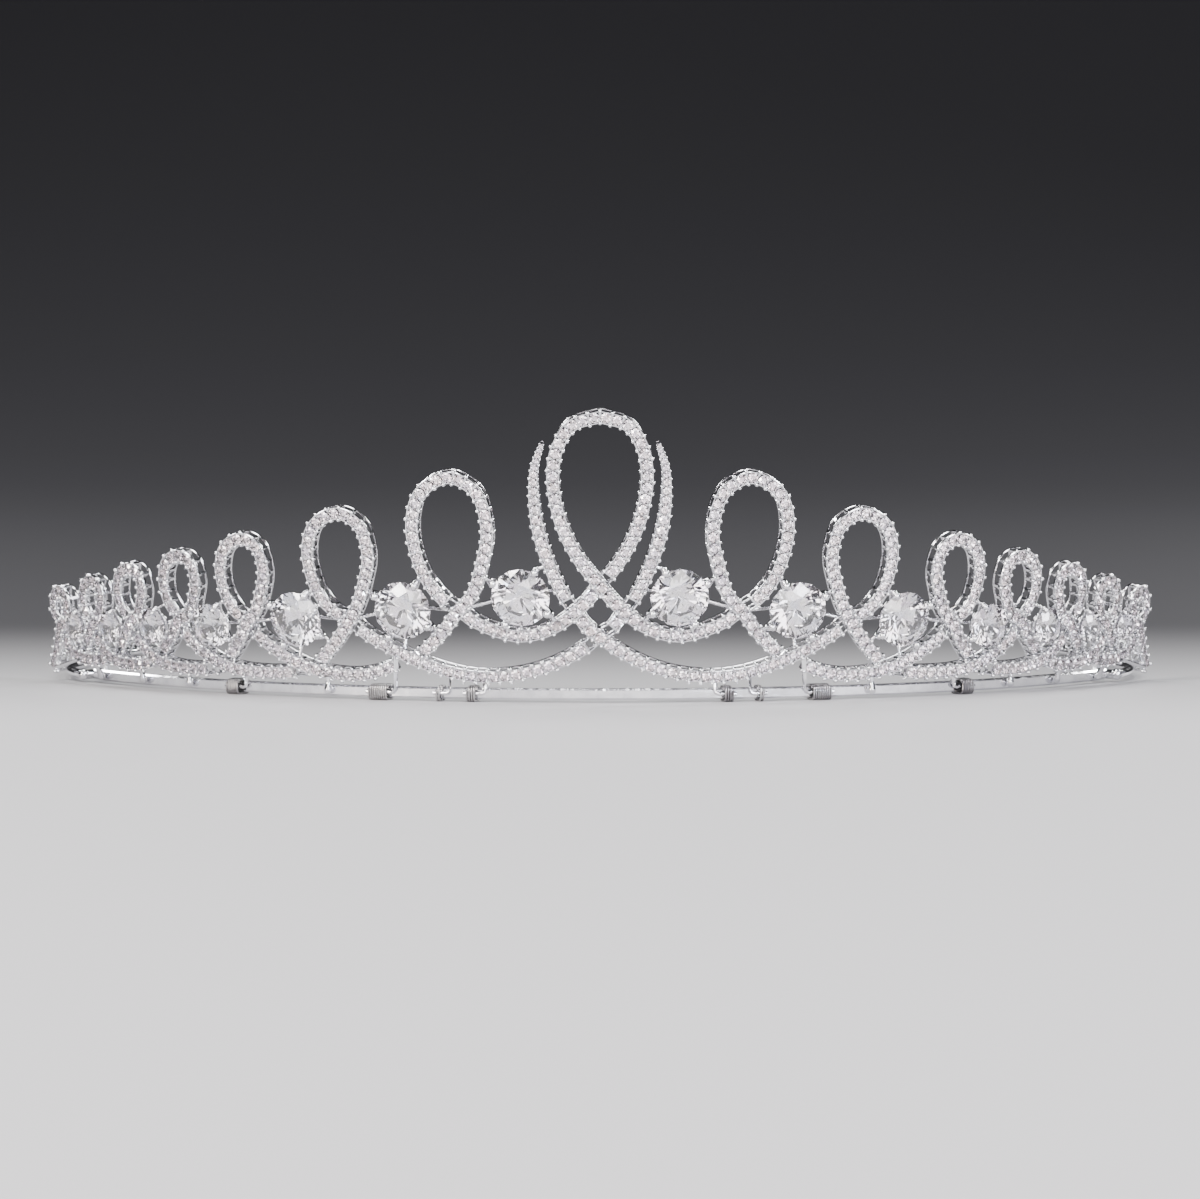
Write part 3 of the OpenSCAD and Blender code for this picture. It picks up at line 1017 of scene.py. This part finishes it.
SILVER = (0.90, 0.90, 0.92)
GREY = (0.76, 0.76, 0.79)
RIBBON_METAL = PlatedSilver("ribbon_silver", SILVER, GREY, (0.10, 0.24), 0.004, 0.0006)
BAND_METAL = PlatedSilver("headband_silver", SILVER, GREY, (0.07, 0.20), 0.003, 0.0008)
LASH_METAL = PlatedSilver("lashing_wire", (0.46, 0.45, 0.45), (0.24, 0.23, 0.24), (0.24, 0.42),
                          0.004, 0.001)
# Painted glints of colour for the clear stones, in place of their coloured flashes of light: bluish
# and warm tints on the main stones, pinkish ones on the small stones
PAINTED_GLINTS_MAIN = ((0.98, 1.0, 0.95), (0.84, 0.86, 1.0), (1.0, 0.98, 0.96), (0.95, 0.86, 1.0),
        (1.0, 0.94, 0.87))
PAINTED_GLINTS_SMALL = ((1.0, 0.92, 0.94), (0.92, 0.84, 1.0), (1.0, 0.93, 0.91), (0.98, 0.82, 0.92),
         (1.0, 0.88, 0.83))
MAIN_STONE = ClearStone("clear_main_stone", Grain(2.2, 1.0), PAINTED_GLINTS_MAIN, clear=0.975)
SMALL_STONE = ClearStone("clear_small_stone", Grain(1.3, 1.0), PAINTED_GLINTS_SMALL)
PAPER_PAINTED_FALLOFF = PalePaper("pale_paper", (0.44, 0.44, 0.45), (0.02, 0.02, 0.023), -0.09, 0.14)


@dataclass(frozen=True)
class RibbonFrame:
    """The frame that joins a ribbon's four rails at every pitch, open in the middle."""

    half_w: float = 0.82
    front: float = -0.13
    back: float = -1.54
    bar: float = 0.22
    thick: float = 0.34

    def mesh(self) -> Mesh:
        """Builds the frame, which lies across X with its front towards Z.

        Returns:
            The mesh.
        """
        rings = []
        for inset in (0.0, self.bar):
            wide, back, front = self.half_w - inset, self.back + inset, self.front - inset
            rings += [(-wide, back), (wide, back), (wide, front), (-wide, front)]
        points = [(x, *yz) for x in (-self.thick / 2, self.thick / 2) for yz in rings]
        faces, n = [], len(points) // 4
        for i in range(n):
            j = (i + 1) % n
            faces += [[i, j, 2 * n + j, 2 * n + i], [n + i, 3 * n + i, 3 * n + j, n + j],
                      [i, n + i, n + j, j], [2 * n + i, 2 * n + j, 3 * n + j, 3 * n + i]]
        return solid_mesh("frame_piece", points, faces)


@dataclass(frozen=True)
class BeadProng:
    """A bead prong: a round claw with a domed head."""

    r: float = 0.265
    root: float = -0.45
    dome: tuple[tuple[float, float], ...] = ((1.0, 0.0), (0.82, 0.6), (0.45, 0.92), (0.0, 1.02))
    sides: int = 8

    def mesh(self) -> Mesh:
        """Builds the prong, upright on Z.

        Returns:
            The mesh.
        """
        profile = [(0, self.root), (self.r, self.root)]
        profile += [(self.r * x, self.r * z) for x, z in self.dome]
        return turned_mesh("bead_piece", profile, self.sides)


@dataclass(frozen=True)
class SmallStone:
    """A small round stone: table, star and kite facets, girdle and pavilion."""

    r: float = 0.75
    table: float = 0.56
    crown: float = 0.30
    girdle: float = 0.03
    pavilion: float = 0.80
    sides: int = 8

    def ring(self, share: float, z: float, turn: float) -> list[tuple[float, float, float]]:
        """Finds the points of a ring of the stone.

        Args:
            share: its radius, as a share of the stone's.
            z: its height, as a share of the stone's radius.
            turn: its turn, as a share of half a side.

        Returns:
            The points.
        """
        angles = [math.pi / self.sides * (2 * i + turn) for i in range(self.sides)]
        return [(self.r * share * math.cos(a), self.r * share * math.sin(a), self.r * z)
                for a in angles]

    def mesh(self) -> Mesh:
        """Builds the stone, with its table towards Z.

        Returns:
            The mesh.
        """
        n = self.sides
        points = self.ring(self.table, self.girdle + self.crown, 0)
        points += self.ring(1, self.girdle, 1) + self.ring(1, -self.girdle, 1)
        points.append((0, 0, -self.r * (self.girdle + self.pavilion)))
        faces = [list(range(n))]
        for i in range(n):
            j = (i + 1) % n
            faces += [[i, j, n + i], [j, n + j, n + i], [n + i, n + j, 2 * n + j, 2 * n + i],
                      [2 * n + i, 2 * n + j, 3 * n]]
        return solid_mesh("stone_piece", points, faces)


@dataclass(frozen=True)
class Repeated:
    """A small piece that is set along every ribbon.

    It is set at the frames or between them, at distances to the sides and in front of the
    ribbon's line, and only where no ribbon in front comes nearer than its clearance. Where the
    ribbon narrows, it shrinks along those of its own axes that are marked.
    """

    name: str
    piece: RibbonFrame | BeadProng | SmallStone
    between: bool
    to_sides: tuple[float, ...]
    out: float
    clear: float
    shrinks: tuple[bool, bool, bool]
    shading: Shading


@dataclass
class Ribbons:
    """The ribbons: four rails joined by a frame at every pitch, with beads and small stones."""

    lines: Lines
    pitch: float = 1.57
    rail_side: float = 0.76
    rail_w: float = 0.28
    rail_h: float = 0.50
    front_out: float = -0.08
    back_out: float = -1.50
    back_share: float = 0.72
    rail_sides: int = 8
    keep_every: int = 2
    frames: Repeated = Repeated("ribbon_frames", RibbonFrame(), False, (0.0,), 0.0, 0.0,
                                (True, True, False), Shading.FACETED)
    beads: Repeated = Repeated("ribbon_beads", BeadProng(), False, (-0.86, 0.86), 0.16, 1.15,
                               (True, True, True), Shading.ROUNDED)
    stones: Repeated = Repeated("ribbon_stones", SmallStone(), True, (0.0,), 0.10, 1.62,
                                (True, True, True), Shading.FACETED)

    def pitches(self, strand: Strand) -> tuple[Array, Array]:
        """Spaces the stones along a strand, closer where it narrows.

        Args:
            strand: the strand.

        Returns:
            Distances along it of the stones and of the frames between them.
        """
        density = RIBBON_W / (self.pitch * strand.width)
        steps = (density[1:] + density[:-1]) / 2 * np.diff(strand.run)
        count = np.concatenate([[0], np.cumsum(steps)])
        total = int(round(count[-1]))
        count *= total / count[-1]
        stones = np.interp(np.arange(total) + 0.5, count, strand.run)
        frames = np.interp(np.arange(total + 1), count, strand.run)
        shared = strand.index == CREST_LOOP and strand.side is Side.LEFT
        return stones, frames[:len(frames) - shared]

    def rails(self) -> list[Line]:
        """Draws the four rails of every ribbon.

        Returns:
            Their lines.
        """
        lines = []
        keep = slice(None, None, self.keep_every)
        for strand, dip in zip(self.lines.strands, self.lines.dips):
            share = strand.width / RIBBON_W
            for way in (-self.rail_side, self.rail_side):
                for out, thick in ((self.front_out, 1.0), (self.back_out, self.back_share)):
                    place = strand.middle() + way * share[:, None] * strand.across()
                    place += (out - dip)[:, None] * strand.out()
                    lines.append((place[keep], strand.out()[keep], (share * thick)[keep]))
        return lines

    def places(self, item: Repeated) -> list[Array]:
        """Finds where an item is set on all the ribbons.

        Args:
            item: the item.

        Returns:
            The items' places, where they face, their directions along the ribbon and sizes.
        """
        found = []
        for strand, dip, gap in zip(self.lines.strands, self.lines.dips, self.lines.gaps):
            stones, frames = self.pitches(strand)
            run = stones if item.between else frames
            run = run[strand.at(run, gap) >= item.clear]
            line = strand.at(run, strand.middle() - dip[:, None] * strand.out())
            facing, across, along = (unit(strand.at(run, way))
                                     for way in (strand.out(), strand.across(), strand.go()))
            share = strand.at(run, strand.width / RIBBON_W)[:, None]
            size = np.where(item.shrinks, share, 1.0)
            for way in item.to_sides:
                place = line + way * share * across + item.out * facing
                found.append((place, facing, along, size))
        return [np.vstack(parts) for parts in zip(*found)]

    def build(self, kit: Kit, stone: Material) -> None:
        """Builds and dresses the ribbons' pieces.

        Args:
            kit: what they are built with.
            stone: the small stones' material.
        """
        rails = kit.wire("ribbon_rails", self.rails(), self.rail_sides, self.rail_w, self.rail_h)
        dress(rails, Slot.OPENWORK, SOLID_OPENWORK)
        for item in (self.frames, self.beads, self.stones):
            slot, material = Slot.OPENWORK, kit.metal
            if item is self.stones:
                slot, material = Slot.STONES, stone
            piece = add_object(item.name + "_piece", item.piece.mesh())
            thing = kit.set_on(item.name, self.places(item), piece, item.shading, material)
            dress(thing, slot, SOLID_OPENWORK)


@dataclass
class Settings:
    """The main stones' settings: a ring and four prongs each, with struts to the ribbons.

    The setting's own sizes are shares of its stone's radius.
    """

    lines: Lines
    first_prong: float = math.radians(30)
    prongs: int = 4
    ring_r: float = 0.60
    ring_drop: float = 0.53
    ring_points: int = 32
    wire_d: float = 0.214
    wire_sides: int = 10
    # Each prong's points: how far out and up, and how thick
    prong: tuple[tuple[float, float, float], ...] = (
        (0.60, -0.53, 0.80), (0.82, -0.34, 0.90), (1.09, -0.14, 1.00), (1.17, 0.00, 1.00),
        (1.13, 0.10, 0.95), (1.06, 0.155, 0.90))
    prong_steps: int = 4
    claw_r: float = 0.135
    claw_at: tuple[float, float] = (1.045, 0.165)
    claw_sides: int = 12
    claw_rows: int = 8
    strut_share: float = 0.064
    strut_more: float = 0.0128
    strut_sides: int = 8
    ribbon_depth: float = -0.75
    knee: tuple[float, float] = (1.12, -0.12)
    knee_depth: float = -0.35
    knee_share: float = 0.9
    knee_reach: float = 3.4

    def ways(self, first: float) -> list[Array]:
        """The directions of a setting's prongs, the first at an angle from X."""
        turns = [first + 2 * math.pi * i / self.prongs for i in range(self.prongs)]
        return [np.array([math.cos(a), math.sin(a), 0.0]) for a in turns]

    def setting_piece(self, kit: Kit) -> Object:
        """Builds a setting for a stone of radius 1 mm.

        Args:
            kit: what it is built with.

        Returns:
            The setting, with its stone's table towards Z and its first prong along X.
        """
        turn = np.linspace(0, 2 * math.pi, self.ring_points + 1)
        level = np.full(len(turn), -self.ring_drop)
        ring = np.stack([self.ring_r * np.cos(turn), self.ring_r * np.sin(turn), level], -1)
        lines = [(ring, UP, np.ones(len(turn)))]
        prong, _ = smoothed(np.array(self.prong), np.zeros(len(self.prong)), self.prong_steps)
        for way in self.ways(0.0):
            place = prong[:, :1] * way + prong[:, 1:2] * UP
            lines.append((place, np.cross(way, UP), prong[:, 2]))
        made = kit.wire("setting_piece", lines, self.wire_sides, self.wire_d, self.wire_d)
        shape = bmesh.new()
        shape.from_mesh(made.data)
        for way in self.ways(0.0):
            claw = bmesh.ops.create_uvsphere(shape, u_segments=self.claw_sides,
                                             v_segments=self.claw_rows, radius=self.claw_r * MM)
            at = (self.claw_at[0] * way + self.claw_at[1] * UP) * MM
            bmesh.ops.translate(shape, verts=claw["verts"], vec=Vector(at))
        shape.to_mesh(made.data)
        shape.free()
        shade(made.data, Shading.ROUNDED)
        return made

    def struts(self, index: int, side: Side) -> list[Line]:
        """Draws the struts from one setting to the ribbons.

        Args:
            index: which main stone it is, counted from the middle.
            side: its half of the tiara.

        Returns:
            Their lines.
        """
        wall, stone, row, inner = self.lines.wall, STONES[index], LOOPS[index], LOOPS[index - 1]
        s, r = stone.s * side.value, stone.d / 2
        out, along, up = wall.out(s), wall.along(s), wall.up(s)
        centre = wall.place(s, stone.h, stone.out)
        ring = centre - self.ring_drop * r * out
        root = self.strut_share * r + self.strut_more
        inside = (inner.cross_s, inner.cross_h) if index else HORN_SHAPE[HORN_STRUT_ROW]
        below = (stone.s, smile_h(row, stone.s))
        lines = []
        for goal_s, goal_h in ((row.cross_s, row.cross_h), inside, below):
            goal = wall.place(goal_s * side.value, goal_h, self.ribbon_depth)
            x, y = unit(np.array([(goal - ring) @ along, (goal - ring) @ up]))
            start = ring + self.ring_r * r * (x * along + y * up)
            lines.append((np.array([start, goal]), out, np.full(2, root)))
        for x, y, _ in self.ways(self.first_prong):
            way = side.value * x * along + y * up
            start = centre + r * (self.knee[0] * way + self.knee[1] * out)
            goal, apart = self.lines.nearest(start)
            if apart < self.knee_reach:
                goal = goal + self.knee_depth * out
                lines.append((np.array([start, goal]), out, np.full(2, self.knee_share * root)))
        return lines

    def build(self, kit: Kit) -> None:
        """Builds and dresses the settings and their struts.

        Args:
            kit: what they are built with.
        """
        wall = self.lines.wall
        x, y, _ = self.ways(self.first_prong)[0]
        places, struts = [], []
        for side in Side:
            for index, stone in enumerate(STONES):
                s = stone.s * side.value
                along = side.value * x * wall.along(s) + y * wall.up(s)
                places.append((wall.place(s, stone.h, stone.out), wall.out(s), along,
                               np.full(3, stone.d / 2)))
                struts += self.struts(index, side)
        settings = kit.set_on("stone_settings", [np.array(part) for part in zip(*places)],
                              self.setting_piece(kit), Shading.ROUNDED, kit.metal)
        dress(settings, Slot.OPENWORK, SOLID_OPENWORK)
        made = kit.wire("setting_struts", struts, self.strut_sides)
        dress(made, Slot.OPENWORK, SOLID_OPENWORK)


@dataclass
class Feet:
    """What carries the ribbons on the headband: soldered posts, lashed feet and end struts."""

    wall: Wall
    low: float = 0.3
    deep: float = -1.1
    sides: int = 10
    strut_r: float = 0.32
    post_shares: tuple[float, ...] = (0.0, 0.4, 0.7, 0.85, 1.0, 1.12, 1.22)
    post_radii: tuple[float, ...] = (0.40, 0.34, 0.40, 0.50, 0.55, 0.46, 0.22)
    elbow: tuple[float, float] = (0.4, 0.1)
    elbow_ahead: float = 0.05
    foot_points: int = 9

    def top(self, s: float, foot_at: float) -> Array:
        """Finds where a post leaves the ribbon above it.

        Args:
            s: its place along the wall, on the right-hand side.
            foot_at: how far out of the headband's middle line its foot stands.

        Returns:
            The point.
        """
        row = LOOPS[max(k for k, loop in enumerate(LOOPS) if loop.end_s <= s)]
        x, y, _ = self.wall.place(s, 0.0) - self.wall.shift
        wall_at = math.hypot(x, y - BAND_R) - BAND_R
        out = max(self.deep, min(-POST_R / 2, foot_at - wall_at))
        return self.wall.place(s, smile_h(row, s) - self.low, out)

    def bead_post(self, s: float) -> Line:
        """Draws a post that ends in a solder bead on the headband's front.

        Args:
            s: its place along the wall.

        Returns:
            Its line on the right-hand side.
        """
        foot_at = BAND_T / 2 + BEAD_R + LASHING_GAP
        top, foot = self.top(s, foot_at), self.wall.band_point(self.wall.band_angle(s), foot_at)
        shares, radii = np.array(self.post_shares)[:, None], np.array(self.post_radii)
        return top + (foot - top) * shares, FRONT, radii

    def lashed_foot(self, row: LashingRow) -> Line:
        """Draws a post that turns along the headband, where a lashing holds it.

        Args:
            row: the lashing.

        Returns:
            Its line on the right-hand side.
        """
        turn = (LASH_AT + row.length + LASH_END) / BAND_R
        angles = self.wall.band_angle(row.s) + np.linspace(0, turn, self.foot_points)
        foot = np.array([self.wall.band_point(a, FOOT_OUT) for a in angles])
        top = self.top(row.s, FOOT_OUT)
        far, near = [foot[0] + share * (top - foot[0]) for share in self.elbow]
        near = near + self.elbow_ahead * (foot[1] - foot[0])
        path = np.vstack([top, far, near, foot[1:]])
        return path, UP, np.full(len(path), FOOT_R)

    def build(self, kit: Kit) -> None:
        """Builds and dresses the posts, feet and struts.

        Args:
            kit: what they are built with.
        """
        lines = [self.bead_post(s) for s in BEAD_POSTS]
        lines += [self.lashed_foot(row) for row in LASHINGS]
        for ends in END_STRUTS:
            path = np.array([self.wall.place(s, h) for s, h in ends])
            lines.append((path, UP, np.full(len(path), self.strut_r)))
        both = [(path * side.flip, facing, thick) for side in Side for path, facing, thick in lines]
        dress(kit.wire("posts_and_feet", both, self.sides), Slot.OPENWORK, SOLID_OPENWORK)


@dataclass
class Lashings:
    """Fine wire wound tightly round the headband and each foot."""

    wall: Wall
    wire_d: float = 0.29
    wire_sides: int = 7
    spacing: float = 1.03
    least_turns: int = 2
    turn_points: int = 20
    corner: float = 0.42
    corner_points: int = 6

    def around(self, turns: Array) -> Array:
        """Finds points of the wire round the headband and foot, on a box with round corners.

        Args:
            turns: how many turns the wire has made at each point.

        Returns:
            How far out of the headband's middle line and above it each point lies.
        """
        r, middle = self.corner, self.wire_d / 2 - self.corner
        outer = FOOT_OUT + FOOT_R + LASHING_GAP + middle
        inner = -BAND_T / 2 - LASHING_GAP - middle
        top = BAND_H / 2 + LASHING_GAP + middle
        path = []
        corners = ((outer, top), (inner, top), (inner, -top), (outer, -top))
        for quarter, (x, y) in enumerate(corners):
            for a in (quarter + np.linspace(0, 1, self.corner_points)) * math.pi / 2:
                path.append((x + r * math.cos(a), y + r * math.sin(a)))
        path = np.array(path + path[:1])
        run = run_of(path)
        want = (turns % 1.0) * run[-1]
        return np.stack([np.interp(want, run, path[:, 0]), np.interp(want, run, path[:, 1])], -1)

    def wound(self, row: LashingRow) -> Line:
        """Draws the wire of one lashing.

        Args:
            row: the lashing.

        Returns:
            Its line on the right-hand side.
        """
        length = row.length - self.wire_d
        turns = max(self.least_turns, int(length / (self.wire_d * self.spacing)))
        t = np.linspace(0, turns, turns * self.turn_points + 1)
        start = self.wall.band_angle(row.s) + (LASH_AT + self.wire_d / 2) / BAND_R
        angles = start + t / turns * length / BAND_R
        path = [self.wall.band_point(a, o, z) for a, (o, z) in zip(angles, self.around(t))]
        facing = np.stack([np.cos(angles), np.sin(angles), np.zeros_like(angles)], -1)
        return np.array(path), facing, np.ones(len(path))

    def build(self, kit: Kit) -> None:
        """Builds and dresses all the lashings as one piece.

        Args:
            kit: what they are built with.
        """
        lines, nodes = [], []
        for side in Side:
            for k, row in enumerate(LASHINGS):
                path, facing, thick = self.wound(row)
                lines.append((path * side.flip, facing * side.flip, thick))
                nodes.append(f"lashing_{side.letter}{k + 1}")
        wound = kit.wire("wound_lashings", lines, self.wire_sides, self.wire_d, self.wire_d)
        dress(wound, Slot.LASHING, *nodes)


@dataclass
class SolidPieces:
    """The solids that stay as they are: the headband with its tail wires, and the main stones."""

    headband: str = "headband"
    stone_prefix: str = "stone_"

    def build(self, metal: Material, stone: Material) -> None:
        """Gives the solids their materials.

        Args:
            metal: the headband's material.
            stone: the main stones' material.
        """
        for name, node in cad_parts.items():
            if name == self.headband or name.startswith(self.stone_prefix):
                node.data.materials.clear()
                node.data.materials.append(metal if name == self.headband else stone)
                LOG.info("%s: dressed", name)


@dataclass(frozen=True)
class Lamp:
    """A square soft light: its place in metres, its side, its power in watts and its tint."""

    name: str
    place: tuple[float, float, float]
    size: float
    power: float
    tint: Colour = (1.0, 1.0, 1.0)


@dataclass
class Studio:
    """A sweep of paper, soft lights and the camera, with sizes in metres."""

    distance: float = 0.9
    elevation: float = math.radians(4)
    lens: float = 200.9
    clip_start: float = 0.05
    # How far down the picture the headband's front lies, and the picture's size in pixels
    front_down: float = 690.0
    picture: tuple[int, int] = (1200, 1199)
    sensor: float = 36.0
    half_w: float = 4.0
    front: float = -3.0
    back: float = 0.6
    sweep_r: float = 1.4
    sweep_h: float = 3.0
    sweep_steps: int = 32
    aim: tuple[float, float, float] = (0.0, -0.02, 0.015)
    room_colour: Colour = (0.30, 0.31, 0.33)
    room_glow: float = 0.18
    lamps: tuple[Lamp, ...] = (
        Lamp("key", (-0.60, -0.70, 0.75), 0.40, 19.0, (1.0, 0.95, 0.92)),
        Lamp("fill", (0.72, -0.62, 0.55), 0.40, 13.0, (0.94, 0.93, 1.0)),
        Lamp("front", (0.10, -1.25, 0.62), 0.80, 16.0, (1.0, 0.96, 0.96)),
        Lamp("low_left", (-0.75, -0.85, 0.12), 0.12, 4.5, (1.0, 0.90, 0.80)),
        Lamp("low_right", (0.52, -1.0, 0.10), 0.10, 4.0, (0.82, 0.90, 1.0)),
        Lamp("top", (0.0, 0.0, 1.0), 0.40, 10.0),
        Lamp("rim_left", (-0.55, 0.60, 0.50), 0.20, 5.0),
        Lamp("rim_right", (0.50, 0.65, 0.40), 0.16, 4.5),
    )

    def floor(self) -> None:
        """Builds the floor, which sweeps up into the backdrop."""
        profile = [(self.front, 0.0)]
        profile += [(self.back + self.sweep_r * math.sin(a), self.sweep_r * (1 - math.cos(a)))
                    for a in np.linspace(0, math.pi / 2, self.sweep_steps + 1)]
        profile.append((self.back + self.sweep_r, self.sweep_h))
        points = [(x, y, z) for y, z in profile for x in (-self.half_w, self.half_w)]
        faces = [(2 * i, 2 * i + 1, 2 * i + 3, 2 * i + 2) for i in range(len(profile) - 1)]
        mesh = bpy.data.meshes.new("paper_sweep")
        mesh.from_pydata(points, [], faces)
        mesh.shade_smooth()
        # The paper's colour carries painted shade that darkens it towards the backdrop
        mesh.materials.append(PAPER_PAINTED_FALLOFF.material())
        add_object("paper_sweep", mesh)

    def light(self, lamp: Lamp) -> None:
        """Hangs a lamp that faces the tiara.

        Args:
            lamp: the lamp.
        """
        data = bpy.data.lights.new(lamp.name, "AREA")
        data.shape = "SQUARE"
        data.size = lamp.size
        data.energy = lamp.power
        data.color = lamp.tint
        thing = add_object(lamp.name, data)
        thing.location = lamp.place
        ahead = Vector(self.aim) - Vector(lamp.place)
        thing.rotation_euler = ahead.to_track_quat("-Z", "Y").to_euler()

    def room(self) -> None:
        """Builds the dim room round the lights."""
        world = bpy.data.worlds.new("room")
        world.use_nodes = True
        glow = world.node_tree.nodes["Background"]
        glow.inputs["Color"].default_value = (*self.room_colour, 1.0)
        glow.inputs["Strength"].default_value = self.room_glow
        bpy.context.scene.world = world

    def camera(self) -> None:
        """Sets the camera above the floor, at the photograph's angle to the leaning wall."""
        low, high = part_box("headband")
        target = Vector((0, low.y, (low.z + high.z) / 2))
        data = bpy.data.cameras.new("camera")
        data.lens = self.lens
        data.sensor_width = self.sensor
        data.clip_start = self.clip_start
        eye = add_object("camera", data)
        back = Vector((0, -math.cos(self.elevation), math.sin(self.elevation)))
        eye.location = target + back * self.distance
        pixel = self.sensor / self.lens / self.picture[0]
        lifted = math.atan((self.front_down - self.picture[1] / 2) * pixel)
        eye.rotation_euler = (math.pi / 2 - self.elevation + lifted, 0, 0)
        bpy.context.scene.camera = eye

    def build(self) -> None:
        """Builds the whole studio."""
        self.camera()
        self.floor()
        for lamp in self.lamps:
            self.light(lamp)
        self.room()


def main() -> None:
    """Builds every piece in order."""
    logging.basicConfig(level=logging.INFO, format="%(name)s: %(message)s")
    kit = Kit(RIBBON_METAL.material(), wire_tree(), scatter_tree())
    wall = Wall()
    lines = Lines(wall)
    Ribbons(lines).build(kit, SMALL_STONE.material())
    Settings(lines).build(kit)
    Feet(wall).build(kit)
    Lashings(wall).build(replace(kit, metal=LASH_METAL.material()))
    SolidPieces().build(BAND_METAL.material(), MAIN_STONE.material())
    Studio().build()


if __name__ == "__main__":
    main()
